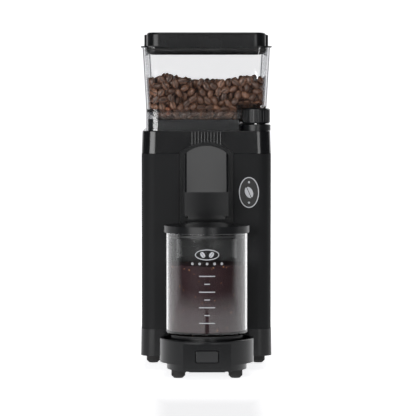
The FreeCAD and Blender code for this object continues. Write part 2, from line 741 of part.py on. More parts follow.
cover = cover_solid(0, cover_bottom_z).cut(cover_solid(cover_wall, cover_bottom_z - 1))
for side in (-1, 1):
    x0, x1 = sorted((side * (cover_half - cover_notch), side * (cover_half + 1)))
    cover = cover.cut(box(x0, x1, frame_front_y - cover_reach - 8, frame_front_y + 1,
                          cover_bottom_z - 1, cover_bottom_z + cover_notch))
save(cover.removeSplitter(), "chute_cover")

outlet_back = frame_front_y - outlet_gap
outlet_front = outlet_back - outlet_depth
outlet_z = cover_bottom_z + outlet_rise
chamber_front = feed_y - chamber_radius
grounds_top = chamber_floor_top_z + duct_height
duct_inside = [(chamber_front + 4, chamber_floor_top_z), (outlet_back, chamber_floor_top_z - 33),
               (outlet_back, outlet_z), (outlet_front, outlet_z), (outlet_front, chamber_floor_top_z - 19),
               (chamber_front + 4, grounds_top)]
duct_outside = [(chamber_front + 4, chamber_floor_top_z - 2.2),
                (outlet_back + duct_wall, chamber_floor_top_z - 34.5),
                (outlet_back + duct_wall, outlet_z), (outlet_front - duct_wall, outlet_z),
                (outlet_front - duct_wall, chamber_floor_top_z - 18), (chamber_front + 4, grounds_top + 2.0)]
duct = prism_x(duct_outside, -duct_half - duct_wall, duct_half + duct_wall)
duct = duct.cut(prism_x(duct_inside, -duct_half, duct_half))
duct = duct.cut(rod(0, feed_y, chamber_floor_z - 12, chamber_top_z, chamber_radius))
save(duct.removeSplitter(), "chute_duct")

# ---------------------------------------------------------------- grinding chamber and burrs
chamber = turned([(bearing_radius + bearing_housing, plate_top_z), (chamber_radius, plate_top_z),
                  (chamber_radius, chamber_top_z - 4),
                  (chamber_radius + chamber_flange, chamber_top_z - 4),
                  (chamber_radius + chamber_flange, chamber_top_z), (chamber_bore, chamber_top_z),
                  (chamber_bore, chamber_floor_top_z), (shaft_radius + 0.5, chamber_floor_top_z),
                  (shaft_radius + 0.5, chamber_floor_z), (bearing_radius, chamber_floor_z),
                  (bearing_radius, chamber_floor_z - bearing_thickness - 1),
                  (bearing_radius + bearing_housing, chamber_floor_z - bearing_thickness - 1)], 0, feed_y)
undercut = ring(0, feed_y, plate_top_z - 1, chamber_floor_z - 3, chamber_radius - 4,
                bearing_radius + bearing_housing)
chamber = chamber.cut(undercut)
outlet = box(-duct_half, duct_half, chamber_front - 1, feed_y - chamber_bore + 6, chamber_floor_top_z,
             grounds_top)
chamber = chamber.cut(outlet)
chamber_screw_places = []
for turn in (30, 150, 270):
    angle = math.radians(turn)
    place = ((chamber_radius - 2) * math.cos(angle), feed_y + (chamber_radius - 2) * math.sin(angle))
    chamber_screw_places.append(place)
    chamber = chamber.cut(rod(place[0], place[1], plate_top_z, plate_top_z + 7, screw_radius))
save(chamber, "grinding_chamber")

holder_radius = chamber_bore - running_gap
holder = turned([(throat_radius, holder_seat_z), (holder_radius, holder_seat_z),
                 (holder_radius, holder_top_z), (throat_radius + 3, holder_top_z),
                 (throat_radius, holder_top_z - 3)], 0, feed_y)
burr_screw_circle = (burr_radius + burr_hole_radius) / 2
burr_screw_places = []
for turn in (0, 120, 240):
    angle = math.radians(turn)
    burr_screw_places.append((burr_screw_circle * math.cos(angle),
                              feed_y + burr_screw_circle * math.sin(angle)))


def burr(z0, z1, cutting_side_up):
    """Flat burr with raked cutting grooves on one face."""
    disc = ring(0, feed_y, z0, z1, burr_radius, burr_hole_radius)
    face_z = z1 if cutting_side_up else z0
    grooves = []
    for number in range(burr_teeth):
        groove = box(burr_hole_radius - 3, burr_radius + 1, -groove_half, groove_half,
                     face_z - 1.2, face_z + 1.2)
        groove.rotate(vec(burr_hole_radius, 0, face_z), vec(0, 0, 1), burr_rake)
        groove.rotate(vec(0, 0, 0), vec(0, 0, 1), number * 360 / burr_teeth)
        groove.translate(vec(0, feed_y, 0))
        grooves.append(groove)
    disc = disc.cut(grooves)
    sink = screw_head_height + screw_sink
    sink_z = (z1 - sink, z1) if cutting_side_up else (z0, z0 + sink)
    for x, y in burr_screw_places:
        disc = disc.cut(rod(x, y, z0 - 1, z1 + 1, screw_radius))
        disc = disc.cut(rod(x, y, sink_z[0], sink_z[1], screw_head_radius + 0.2))
    return disc


upper_burr_z = holder_seat_z - burr_thickness
save(burr(upper_burr_z, holder_seat_z, False), "upper_burr")
upper_screws = [screw_up(x, y, upper_burr_z + screw_sink, 10.0) for x, y in burr_screw_places]
screw_end_z = upper_burr_z + screw_sink + screw_head_height + 10
for x, y in burr_screw_places:
    holder = holder.cut(rod(x, y, holder_seat_z - 1, screw_end_z, screw_radius))
save(group(upper_screws), "upper_burr_screws")
save(holder, "burr_holder")

save(burr(lower_burr_bottom_z, lower_burr_top_z, True), "lower_burr")
carrier = rod(0, feed_y, carrier_z, lower_burr_bottom_z, burr_radius + 0.6)
hub = rod(0, feed_y, lower_burr_bottom_z, lower_burr_top_z - 1, burr_hole_radius - 3)
carrier = join([carrier, hub])
for number in range(4):
    vane = box(burr_radius - 2, chamber_bore - 0.8, -1.5, 1.5, carrier_z, lower_burr_bottom_z)
    vane.rotate(vec(0, 0, 0), vec(0, 0, 1), number * 90 + 45)
    vane.translate(vec(0, feed_y, 0))
    carrier = carrier.fuse(vane)
carrier = carrier.cut(rod(0, feed_y, carrier_z - 1, lower_burr_top_z, shaft_radius))
lower_screws = [screw_down(x, y, lower_burr_top_z - screw_sink, 5.5) for x, y in burr_screw_places]
for x, y in burr_screw_places:
    carrier = carrier.cut(rod(x, y, carrier_z - 1, lower_burr_bottom_z + 1, screw_radius))
save(group(lower_screws), "lower_burr_screws")
save(carrier.removeSplitter(), "burr_carrier")

# the adjusting ring: plain ring with a toothed sector that faces the knob
knob_direction = math.degrees(math.atan2(knob_y - feed_y, knob_x))
sector = tooth_outline(adjust_teeth, range(-sector_teeth, sector_teeth + 1), knob_direction)
sector_face = [vec(px, feed_y + py, ring_bottom_z) for px, py in sector] + [vec(0, feed_y, ring_bottom_z)]
sector_face = Part.Face(Part.makePolygon(sector_face + [sector_face[0]]))
adjust_ring = join([rod(0, feed_y, ring_bottom_z, ring_top_z, ring_radius),
                    sector_face.extrude(vec(0, 0, ring_thickness))])
save(adjust_ring.cut(rod(0, feed_y, ring_bottom_z - 1, ring_top_z + 1, chamber_bore)), "adjust_ring")

# ---------------------------------------------------------------- grind adjustment knob
shaft_top_z = knob_top_z - knob_shaft_depth
knob = turned([(knob_shaft_radius, knob_bottom_z), (knob_radius - knob_chamfer, knob_bottom_z),
               (knob_radius, knob_bottom_z + knob_chamfer), (knob_radius, knob_top_z - 1.0),
               (knob_radius - 1.0, knob_top_z), (0, knob_top_z), (0, shaft_top_z),
               (knob_shaft_radius, shaft_top_z)], knob_x, knob_y)
for number in range(grip_count):
    angle = 2 * math.pi * number / grip_count
    grip_x = knob_x + (knob_radius + 0.25) * math.cos(angle)
    grip_y = knob_y + (knob_radius + 0.25) * math.sin(angle)
    groove = rod(grip_x, grip_y, knob_bottom_z + 2.0, knob_top_z - 2.0, grip_groove_radius)
    knob = knob.cut(groove)
knob = knob.cut(box(knob_x - 0.5, knob_x + 0.5, knob_y - knob_radius + 1.5, knob_y - 4,
                    knob_top_z - 0.5, knob_top_z + 1))
save(knob, "adjust_knob")
save(rod(knob_x, knob_y, ring_bottom_z, shaft_top_z, knob_shaft_radius), "knob_shaft")
pinion_phase = knob_direction + 180 + 180 / knob_teeth
knob_pinion = toothed_wheel(knob_teeth, knob_x, knob_y, ring_bottom_z, ring_top_z, pinion_phase)
pinion_bore = rod(knob_x, knob_y, ring_bottom_z - 1, ring_top_z + 1, knob_shaft_radius)
save(knob_pinion.cut(pinion_bore), "knob_pinion")
boss = turned([(knob_shaft_radius + running_gap, cap_top_z), (knob_radius + 0.6, cap_top_z),
               (knob_radius + 0.6, knob_base_top_z - 0.5), (knob_radius + 0.1, knob_base_top_z),
               (knob_shaft_radius + running_gap, knob_base_top_z)], knob_x, knob_y)
save(boss, "knob_base")

# ---------------------------------------------------------------- drive
shaft = rod(0, feed_y, lower_bearing_z, lower_burr_top_z - 1, shaft_radius)
shaft_nut = turned([(0, lower_burr_top_z - 1), (nut_radius, lower_burr_top_z - 1),
                    (nut_radius, lower_burr_top_z + 2), (0, lower_burr_top_z + 8)], 0, feed_y)
save(join([shaft, shaft_nut]), "burr_shaft")
bearing_inner = shaft_radius + running_gap
upper_bearing_z = chamber_floor_z - bearing_thickness
save(group([ring(0, feed_y, z, z + bearing_thickness, bearing_radius, bearing_inner)
            for z in (upper_bearing_z, lower_bearing_z)]), "shaft_bearings")
drive_gear = toothed_wheel(drive_teeth, 0, feed_y, gear_bottom_z, gear_top_z, 90)
lightening = []
for number in range(6):
    angle = 2 * math.pi * number / 6
    lightening.append(rod(18 * math.cos(angle), feed_y + 18 * math.sin(angle), gear_bottom_z - 1,
                          gear_top_z + 1, 5.5))
drive_gear = drive_gear.cut(lightening + [rod(0, feed_y, gear_bottom_z - 1, gear_top_z + 1, shaft_radius)])
save(drive_gear, "drive_gear")
pinion = toothed_wheel(motor_teeth, 0, motor_y, gear_bottom_z, gear_top_z, -90 + 180 / motor_teeth)
save(pinion.cut(rod(0, motor_y, gear_bottom_z - 1, gear_top_z + 1, motor_shaft_radius)), "motor_pinion")

tray = rounded_block(tray_half_x, tray_front, tray_back, tray_floor_z, plate_bottom_z, tray_corner)
tray = tray.cut(rounded_block(tray_half_x - wall, tray_front + wall, tray_back - wall, lower_bearing_z,
                              plate_bottom_z + 1, tray_corner - wall))
bearing_seat = ring(0, feed_y, tray_floor_z, lower_bearing_z + bearing_thickness, bearing_radius + 2,
                    bearing_radius)
tray = tray.fuse(bearing_seat)
tray = tray.cut(rod(0, motor_y, tray_floor_z - 1, lower_bearing_z + 1, motor_shaft_radius + 3))
plate = rounded_block(post_x + 6, tray_front, tray_back, plate_bottom_z, plate_top_z, 8)
plate = plate.cut(rod(0, feed_y, plate_bottom_z - 1, plate_top_z + 1, bearing_radius + 4))
plate = plate.cut(rod(0, motor_y, plate_bottom_z - 1, plate_top_z + 1, motor_shaft_radius + 4))
motor_screw_places = [(-22, motor_y), (22, motor_y)]
for x, y in motor_screw_places:
    tray = tray.cut(rod(x, y, tray_floor_z - 1, lower_bearing_z + 1, screw_radius))
save(tray.removeSplitter(), "gear_tray")
for x, y in chamber_screw_places:
    plate = plate.cut(rod(x, y, plate_bottom_z - 1, plate_top_z + 1, screw_radius))
    plate = plate.cut(rod(x, y, plate_bottom_z - 1, plate_bottom_z + screw_head_height,
                          screw_head_radius + panel_gap))
for x, y in post_places:
    plate = plate.cut(rod(x, y, plate_bottom_z - 1, plate_top_z + 1, screw_radius))
save(plate, "gearbox_plate")
save(group([screw_up(x, y, plate_bottom_z, plate_thickness - screw_head_height + 6)
            for x, y in chamber_screw_places]), "chamber_screws")
posts = []
for x, y in post_places:
    post = rod(x, y, base_top_z, plate_bottom_z, post_radius)
    posts.append(post.cut(rod(x, y, plate_bottom_z - 10, plate_bottom_z + 1, screw_radius)))
save(group(posts), "support_posts")
save(group([screw_down(x, y, plate_top_z + screw_head_height, plate_thickness + 9) for x, y in post_places]),
     "plate_screws")

# ---------------------------------------------------------------- motor
can = turned([(motor_shaft_radius + 1, tray_floor_z - 3), (motor_shaft_radius + 1, tray_floor_z),
              (motor_radius, tray_floor_z), (motor_radius, motor_bottom_z),
              (motor_radius - motor_wall, motor_bottom_z), (motor_radius - motor_wall, tray_floor_z - 3)], 0, motor_y)
for x, y in motor_screw_places:
    can = can.cut(rod(x, y, tray_floor_z - 4, tray_floor_z + 1, screw_radius))
save(can, "motor_case")
save(group([screw_down(x, y, lower_bearing_z + screw_head_height, wall + 4.5)
            for x, y in motor_screw_places]), "motor_screws")
shaft_hole = motor_shaft_radius + running_gap
can_bore = motor_radius - motor_wall
end_cap = turned([(shaft_hole, motor_bottom_z + 3), (shaft_hole, motor_bottom_z - 4), (10, motor_bottom_z - 4),
                  (10, motor_bottom_z), (can_bore, motor_bottom_z), (can_bore, motor_bottom_z + 3)], 0, motor_y)
for number in range(6):
    angle = 2 * math.pi * number / 6
    end_cap = end_cap.cut(rod(19 * math.cos(angle), motor_y + 19 * math.sin(angle), motor_bottom_z - 1,
                              motor_bottom_z + 4, 4.5))
save(end_cap, "motor_end_cap")
magnet_shell = ring(0, motor_y, motor_bottom_z + 12, tray_floor_z - 16, can_bore,
                    rotor_radius + magnet_gap)
split = box(-5, 5, motor_y - motor_radius, motor_y + motor_radius, motor_bottom_z, tray_floor_z)
save(magnet_shell.cut(split), "motor_magnets")
save(rod(0, motor_y, motor_bottom_z - 8, gear_top_z, motor_shaft_radius), "motor_shaft")
core = ring(0, motor_y, motor_bottom_z + 16, tray_floor_z - 20, rotor_radius, motor_shaft_radius)
slots = []
for number in range(12):
    slot = box(rotor_radius - 7, rotor_radius + 1, -1.4, 1.4, motor_bottom_z + 15, tray_floor_z - 19)
    slot.rotate(vec(0, 0, 0), vec(0, 0, 1), number * 30)
    slot.translate(vec(0, motor_y, 0))
    slots.append(slot)
core = core.cut(slots)
commutator = ring(0, motor_y, motor_bottom_z + 5, motor_bottom_z + 16, 9, motor_shaft_radius)
save(join([core, commutator]), "rotor")
fan_z = tray_floor_z - 14
fan = ring(0, motor_y, fan_z, fan_z + 1.6, motor_radius - 5, motor_shaft_radius)
blades = []
for number in range(9):
    blade = box(10, motor_radius - 5, -0.7, 0.7, fan_z + 1.6, fan_z + 7)
    blade.rotate(vec(0, 0, 0), vec(0, 0, 1), number * 40)
    blade.translate(vec(0, motor_y, 0))
    blades.append(blade)
fan_hub = ring(0, motor_y, fan_z + 1.6, fan_z + 7, 10.5, motor_shaft_radius)
save(join([fan, fan_hub] + blades), "motor_fan")

# ---------------------------------------------------------------- electrics
board_y = 0.0
board_top_z = base_top_z + 89
board_middle_z = base_top_z + 45
board_half = 38.0
save(box(-board_half, board_half, board_y, board_y + 1.6, base_top_z + 2, board_top_z), "circuit_board")
capacitors = [rod_y(-22, board_middle_z - 18, board_y - 22, board_y, 9),
              rod_y(0, board_middle_z - 22, board_y - 16, board_y, 6)]
relays = [box(14, 32, board_y - 15, board_y, board_middle_z - 30, board_middle_z - 4),
          box(-30, -8, board_y - 12, board_y, board_middle_z + 4, board_middle_z + 30),
          box(2, 30, board_y - 10, board_y, board_middle_z + 10, board_middle_z + 24)]
save(group(capacitors + relays), "board_parts")
brackets = []
for x in (-28, 28):
    foot_part = box(x - 5, x + 5, board_y + 1.6, board_y + 12, base_top_z, base_top_z + 2)
    upright = box(x - 5, x + 5, board_y + 1.6, board_y + 3.2, base_top_z, base_top_z + 14)
    brackets.append(join([foot_part, upright]))
save(group(brackets), "board_brackets")
interlock_bottom_z = cap_top_z - wall - 12
save(box(-half + 11, -half + 31, hopper_back - 14, hopper_back - 2, interlock_bottom_z, cap_top_z - wall),
     "interlock_switch")

# ---------------------------------------------------------------- collar and name panel
pocket = box(pocket_x, body_width, -body_width, pocket_y, cap_top_z - 1, pocket_top_z)
collar_pocket = box(pocket_x - pocket_wall - slide_gap, body_width, -body_width,
                    pocket_y + pocket_wall + slide_gap, cap_top_z - 1, collar_top_z + 1)
collar = rounded_block(collar_half_x, collar_front, collar_back, cap_top_z, collar_top_z, hopper_corner - 2)
funnel_break_z = collar_top_z + 0.1
break_x = hopper_half_x - funnel_shelf_x
break_y = hopper_half_y - funnel_shelf_y
shelf_corner = hopper_corner - hopper_wall


def funnel(low, high):
    """Four-sided funnel about the feed axis; each end is half x, half y, height and corner radius."""
    ends = []
    for half_x, half_y, z, corner in (low, high):
        ends.append((half_x, feed_y - half_y, feed_y + half_y, z, corner))
    return tapered_block(*ends)


def steep_funnel(grow, bottom_z):
    """Lower, steep part of the funnel, larger than its inside by grow."""
    low = throat_radius + grow
    return funnel((low, low, bottom_z, low - 0.5), (break_x + grow, break_y + grow, funnel_break_z, 12))


collar = collar.cut(steep_funnel(hopper_wall + 1.2, spout_bottom_z + 1))
collar = collar.cut(collar_pocket)
save(collar.removeSplitter(), "hopper_collar")
name_panel = box(-collar_half_x + name_panel_margin, pocket_x - name_panel_right,
                 collar_front - name_panel_thickness, collar_front,
                 cap_top_z + name_panel_border, collar_top_z - name_panel_border)
panel_edges = [e for e in name_panel.Edges if e.BoundBox.YMax < collar_front - name_panel_thickness / 2]
name_panel = name_panel.makeFillet(name_panel_thickness * 0.7, panel_edges)
save(name_panel, "name_panel")

# ---------------------------------------------------------------- hopper, beans and lid
def hopper_block(inset, z0, z1):
    """Flaring body of the hopper between two heights, drawn in by inset."""
    outlines = []
    for z in (z0, z1):
        flare = hopper_flare * (z - hopper_floor_z) / (hopper_rim_z - hopper_floor_z)
        half_x = hopper_half_x + flare - inset
        half_y = hopper_half_y + flare - inset
        outlines.append((half_x, feed_y - half_y, feed_y + half_y, z, hopper_corner - inset))
    return tapered_block(*outlines)


floor_under_z = hopper_floor_z - floor_thickness
skirt = rounded_block(hopper_half_x, hopper_front, hopper_back, cap_top_z, hopper_floor_z, hopper_corner)
skirt_hollow = rounded_block(hopper_half_x - skirt_wall, hopper_front + skirt_wall, hopper_back - skirt_wall,
                             cap_top_z - 1, floor_under_z, hopper_corner - skirt_wall)
shelf_half_x = hopper_half_x - hopper_wall
shelf_half_y = hopper_half_y - hopper_wall
shelf_inside = funnel((break_x, break_y, funnel_break_z, 12),
                      (shelf_half_x, shelf_half_y, hopper_floor_z, shelf_corner))
shelf_outside = funnel((break_x + hopper_wall, break_y + hopper_wall, funnel_break_z, 12),
                       (shelf_half_x, shelf_half_y, floor_under_z, shelf_corner))
spout = rod(0, feed_y, spout_bottom_z, spout_bottom_z + spout_length, spout_radius)
spout_hole = rod(0, feed_y, spout_bottom_z - 1, spout_bottom_z + spout_length + 1, throat_radius)
body = hopper_block(0, hopper_floor_z, hopper_rim_z)
cavity = join([hopper_block(hopper_wall, hopper_floor_z, hopper_rim_z + 1), shelf_inside,
               steep_funnel(0, spout_bottom_z + 5)])
shell = join([body, skirt]).cut(skirt_hollow)
shell = shell.fuse([shelf_outside, steep_funnel(hopper_wall, spout_bottom_z + 4), spout])
shell = shell.cut([cavity, spout_hole])
liner = box(pocket_x - pocket_wall, body_width, -body_width, pocket_y + pocket_wall, cap_top_z,
            pocket_top_z + pocket_wall)
envelope = join([hopper_block(0, hopper_floor_z, hopper_rim_z), skirt])
shell = shell.fuse(liner.common(envelope)).cut(pocket)
save(shell.removeSplitter(), "hopper")

bean_block = hopper_block(hopper_wall + bean_gap, hopper_floor_z, bean_level_z)
bean_shelf = funnel((break_x - bean_gap, break_y - bean_gap, funnel_break_z, 12),
                    (shelf_half_x - 2 * bean_gap, shelf_half_y - 2 * bean_gap, hopper_floor_z, shelf_corner))
beans = join([bean_block, bean_shelf, steep_funnel(-bean_gap, spout_bottom_z + 5)])
bean_pocket = box(pocket_x - pocket_wall - bean_gap, body_width, -body_width,
                  pocket_y + pocket_wall + bean_gap, cap_top_z - 1, pocket_top_z + pocket_wall + bean_gap)
save(beans.cut(bean_pocket).removeSplitter(), "coffee_beans")

lid_flange_top_z = hopper_rim_z + lid_flange_thickness
lid_top_z = hopper_rim_z + lid_height
lid_grip_top_z = hopper_rim_z + lid_grip_height
lid_plug_bottom_z = hopper_rim_z - lid_plug_depth


def lid_block(out_x, out_y, z0, z1, corner):
    """Level slab of the lid that stands out past the hopper's rim by out_x and out_y."""
    half_y = rim_half_y + out_y
    return rounded_block(rim_half_x + out_x, feed_y - half_y, feed_y + half_y, z0, z1, corner)


lid_body = lid_block(-lid_body_inset_x, -lid_body_inset_y, lid_flange_top_z, lid_top_z, hopper_corner)
lid_body = lid_body.makeFillet(lid_top_fillet, edges_at(lid_body, lid_top_z))
grip = rounded_block(rim_half_x - lid_grip_inset, feed_y - lid_grip_half_y, feed_y + lid_grip_half_y,
                     lid_flange_top_z, lid_grip_top_z, 3)
grip = grip.makeFillet(lid_grip_fillet, edges_at(grip, lid_grip_top_z))
lid_flange = lid_block(lid_flange_overhang, lid_flange_overhang, hopper_rim_z, lid_flange_top_z,
                       hopper_corner + 1.5)
plug_inset = hopper_wall + lid_plug_inset
plug_corner = hopper_corner - hopper_wall - 1
lid_plug = lid_block(-plug_inset, -plug_inset, lid_plug_bottom_z, hopper_rim_z, plug_corner)
lid_plug = lid_plug.makeFillet(lid_plug_fillet, edges_at(lid_plug, lid_plug_bottom_z))
hollow_inset = plug_inset + wall
lid_hollow = lid_block(-hollow_inset, -hollow_inset, lid_plug_bottom_z - 1, lid_top_z - wall,
                       plug_corner - wall)
seal_z = lid_plug_bottom_z + seal_rise
seal_out = -hopper_wall - seal_gap
seal_in = -plug_inset - seal_depth
seal = lid_block(seal_out, seal_out, seal_z, seal_z + seal_height, hopper_corner - hopper_wall)
seal = seal.cut(lid_block(seal_in, seal_in, seal_z - 1, seal_z + seal_height + 1, plug_corner - seal_depth))
lid = join([lid_body, grip, lid_flange, lid_plug]).cut(lid_hollow)
save(lid.cut(seal).removeSplitter(), "hopper_lid")
save(seal, "lid_seal")

# ---------------------------------------------------------------- jar, grounds and jar lid
jar_bore = jar_radius - jar_wall
jar = rod(0, cradle_y, jar_floor_z, jar_top_z, jar_radius)
jar = jar.makeFillet(jar_foot_fillet, edges_at(jar, jar_floor_z))
bore = rod(0, cradle_y, jar_floor_z + jar_floor, jar_top_z + 5, jar_bore)
bore = bore.makeFillet(jar_foot_fillet - 1, edges_at(bore, jar_floor_z + jar_floor))
jar = jar.cut(bore)
jar = jar.makeFillet(jar_rim_fillet, edges_at(jar, jar_top_z))
save(jar, "jar")
grounds = rod(0, cradle_y, jar_floor_z + jar_floor, grounds_z, jar_bore - grounds_gap)
grounds = grounds.makeFillet(jar_foot_fillet - 0.9, edges_at(grounds, jar_floor_z + jar_floor))
save(grounds, "ground_coffee")

plug_radius = jar_bore - jar_lid_plug_gap
dome = turned([(0, jar_lid_plug_z), (plug_radius, jar_lid_plug_z), (plug_radius, jar_top_z),
               (jar_lid_radius, jar_top_z), (jar_lid_radius, jar_lid_edge_z), (0, jar_lid_edge_z)],
              0, cradle_y)
crown_radius = jar_lid_radius - jar_lid_border
sphere_radius = (crown_radius ** 2 + jar_lid_dome ** 2) / (2 * jar_lid_dome)
sphere = Part.makeSphere(sphere_radius, vec(0, cradle_y, jar_lid_edge_z + jar_lid_dome - sphere_radius))
crown = sphere.common(rod(0, cradle_y, jar_lid_edge_z - 1, jar_lid_edge_z + jar_lid_dome + 1, crown_radius))
jar_lid = join([dome, crown])
jar_lid = jar_lid.cut(rod(0, cradle_y, jar_lid_plug_z - 1, jar_lid_edge_z - 2.5, plug_radius - wall))
jar_seal_z = jar_lid_plug_z + jar_seal_rise
jar_seal = ring(0, cradle_y, jar_seal_z, jar_seal_z + jar_seal_height, jar_bore - slide_gap,
                plug_radius - jar_seal_depth)
save(jar_lid.cut(jar_seal).removeSplitter(), "jar_lid")
save(jar_seal, "jar_lid_seal")
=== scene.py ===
"""Looks of the burr coffee grinder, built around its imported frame, in metres."""

import math
import random

import bmesh
import bpy
from mathutils import Euler, Matrix, Vector, noise
from mathutils.bvhtree import BVHTree
from mathutils.kdtree import KDTree


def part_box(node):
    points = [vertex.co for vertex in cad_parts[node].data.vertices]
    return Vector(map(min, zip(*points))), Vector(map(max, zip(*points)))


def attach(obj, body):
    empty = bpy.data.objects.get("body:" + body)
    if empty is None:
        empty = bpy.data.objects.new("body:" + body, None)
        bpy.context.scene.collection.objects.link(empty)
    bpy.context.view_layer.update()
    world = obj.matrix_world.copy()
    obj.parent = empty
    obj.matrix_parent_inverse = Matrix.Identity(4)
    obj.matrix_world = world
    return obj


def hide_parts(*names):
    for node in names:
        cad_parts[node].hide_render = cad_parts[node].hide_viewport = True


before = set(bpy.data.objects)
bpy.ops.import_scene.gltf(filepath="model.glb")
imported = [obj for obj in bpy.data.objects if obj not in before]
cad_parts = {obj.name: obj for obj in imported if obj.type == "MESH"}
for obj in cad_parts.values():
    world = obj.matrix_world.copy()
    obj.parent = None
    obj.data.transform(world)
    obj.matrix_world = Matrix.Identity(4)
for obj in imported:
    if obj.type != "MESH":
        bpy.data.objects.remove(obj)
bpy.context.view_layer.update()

# ---------------------------------------------------------------- the studio
# A pale floor that sweeps up behind the grinder, with softboxes left and right of the camera, above,
# high in front and behind. The air and the floor in front are dark except to the camera, and a dark
# strip reaches in to the grinder, so the flat black fronts reflect nothing bright.


class Wire:
    """One socket of a material's nodes. Arithmetic on it adds Math nodes, and add() any other node."""

    def __init__(self, tree, socket):
        self.tree = tree
        self.socket = socket

    def add(self, kind, settings, inputs, output=0):
        node = self.tree.nodes.new(kind)
        for name, setting in settings.items():
            if name == "stops":
                ramp = node.color_ramp.elements
                for place, colour in setting[:-2]:
                    ramp.new(place)
                for element, (place, colour) in zip(ramp, setting):
                    element.position = place
                    element.color = (*colour, 1.0)
            else:
                setattr(node, name, setting)
        for key, value in inputs.items():
            if isinstance(value, Wire):
                self.tree.links.new(value.socket, node.inputs[key])
            else:
                node.inputs[key].default_value = value
        return Wire(self.tree, node.outputs[output])

    def maths(self, operation, *operands):
        return self.add("ShaderNodeMath", {"operation": operation}, dict(enumerate(operands)))

    def __add__(self, other):
        return self.maths("ADD", self, other)

    def __sub__(self, other):
        return self.maths("SUBTRACT", self, other)

    def __rsub__(self, other):
        return self.maths("SUBTRACT", other, self)

    def __mul__(self, other):
        return self.maths("MULTIPLY", self, other)

    __radd__ = __add__
    __rmul__ = __mul__

    def part(self, index):
        """X, Y or Z of this position."""
        return self.add("ShaderNodeSeparateXYZ", {}, {0: self}, index)

    def rise(self, start, end):
        """Smooth step from 0 where this value is start to 1 where it is end."""
        return self.add("ShaderNodeMapRange", {"interpolation_type": "SMOOTHSTEP"},
                        {"Value": self, "From Min": start, "From Max": end})

    def blend_colours(self, first, second):
        """Colour that goes from first to second as this wire goes from 0 to 1."""
        ends = {6: (*first, 1.0) if isinstance(first, tuple) else first,
                7: (*second, 1.0) if isinstance(second, tuple) else second}
        return self.add("ShaderNodeMix", {"data_type": "RGBA"}, {0: self, **ends}, 2)

    def grain(self, scale, detail=2.0, roughness=0.5):
        """Fine even noise over this position, from 0 to 1."""
        return self.add("ShaderNodeTexNoise", {}, {"Vector": self, "Scale": scale, "Detail": detail,
                                                   "Roughness": roughness})

    def bump(self, distance, strength=1.0):
        """Surface normal that this height gives; distance is in metres."""
        return self.add("ShaderNodeBump", {}, {"Height": self, "Distance": distance, "Strength": strength})


def new_finish(name, **constants):
    """Material with these fixed shader values; returns it, its shader and its Object position wire."""
    material = bpy.data.materials.new(name)
    material.use_nodes = True
    tree = material.node_tree
    shader = tree.nodes["Principled BSDF"]
    for socket, value in constants.items():
        shader.inputs[socket.replace("_", " ")].default_value = value
    start = Wire(tree, None)
    return material, shader, start.add("ShaderNodeTexCoord", {}, {}, 3)


def feed(shader, **wires):
    """Links wires to the shader's sockets."""
    for socket, wire in wires.items():
        wire.tree.links.new(wire.socket, shader.inputs[socket.replace("_", " ")])


def mesh_piece(name, shape, *materials):
    """Object at the origin that holds the bmesh's shape."""
    mesh = bpy.data.meshes.new(name)
    shape.to_mesh(mesh)
    shape.free()
    piece = bpy.data.objects.new(name, mesh)
    bpy.context.scene.collection.objects.link(piece)
    for material in materials:
        mesh.materials.append(material)
    return piece


def shade_smooth(piece):
    for polygon in piece.data.polygons:
        polygon.use_smooth = True


floor_paint, floor_shader, floor_place = new_finish("studio_floor", Roughness=0.9, Specular_IOR_Level=0.1,
                                                    Emission_Strength=1.0)
floor_side = floor_place.part(0)
floor_depth = floor_place.part(1)
floor_reach = floor_place.add("ShaderNodeVectorMath", {"operation": "LENGTH"}, {0: floor_place}, 1)
floor_near = floor_reach.rise(1.2, 0.65)
floor_behind = floor_depth.rise(-0.5, 0.1)
beside_strip = floor_side.maths("ABSOLUTE", floor_side).rise(0.035, 0.075)
past_strip = floor_depth.rise(-0.32, -0.16)
ahead_of_strip = floor_reach.rise(0.80, 1.0)
off_strip = beside_strip.maths("MAXIMUM", beside_strip, past_strip)
off_strip = off_strip.maths("MAXIMUM", off_strip, ahead_of_strip)
floor_pale = floor_near.maths("MAXIMUM", floor_near, floor_behind) * off_strip
seen = floor_place.add("ShaderNodeLightPath", {}, {}, 0)
# The floor's emission is painted light. It glows evenly pale to the camera, and to every other ray only near
# and behind the grinder and outside the dark strip, so it lights the grinder from below.
floor_glow = floor_pale.blend_colours((0.0, 0.0, 0.0), (0.70, 0.70, 0.71))
floor_mottle = floor_place.grain(1.5).blend_colours((0.85, 0.85, 0.85), (0.88, 0.88, 0.88))
feed(floor_shader, Base_Color=floor_pale.blend_colours((0.06, 0.06, 0.06), floor_mottle),
     Emission_Color=seen.blend_colours(floor_glow, (0.84, 0.84, 0.85)))

sweep_half_width = 7.0
sweep_front = -7.0
sweep_bend = 4.0
sweep_radius = 1.5
sweep_top = 5.0
sweep_steps = 12
sweep_profile = [(sweep_front, 0.0), (sweep_bend, 0.0)]
for step in range(1, sweep_steps + 1):
    turn = math.radians(90 * step / sweep_steps)
    sweep_profile.append((sweep_bend + sweep_radius * math.sin(turn), sweep_radius * (1 - math.cos(turn))))
sweep_profile.append((sweep_bend + sweep_radius, sweep_top))
sweep = bmesh.new()
sweep_edge = [sweep.verts.new((-sweep_half_width, y, z)) for y, z in sweep_profile]
sweep_lines = [sweep.edges.new(pair) for pair in zip(sweep_edge, sweep_edge[1:])]
pulled = bmesh.ops.extrude_edge_only(sweep, edges=sweep_lines)["geom"]
pulled_verts = [v for v in pulled if isinstance(v, bmesh.types.BMVert)]
bmesh.ops.translate(sweep, vec=(2 * sweep_half_width, 0, 0), verts=pulled_verts)
floor = mesh_piece("studio_sweep", sweep, floor_paint)
shade_smooth(floor)

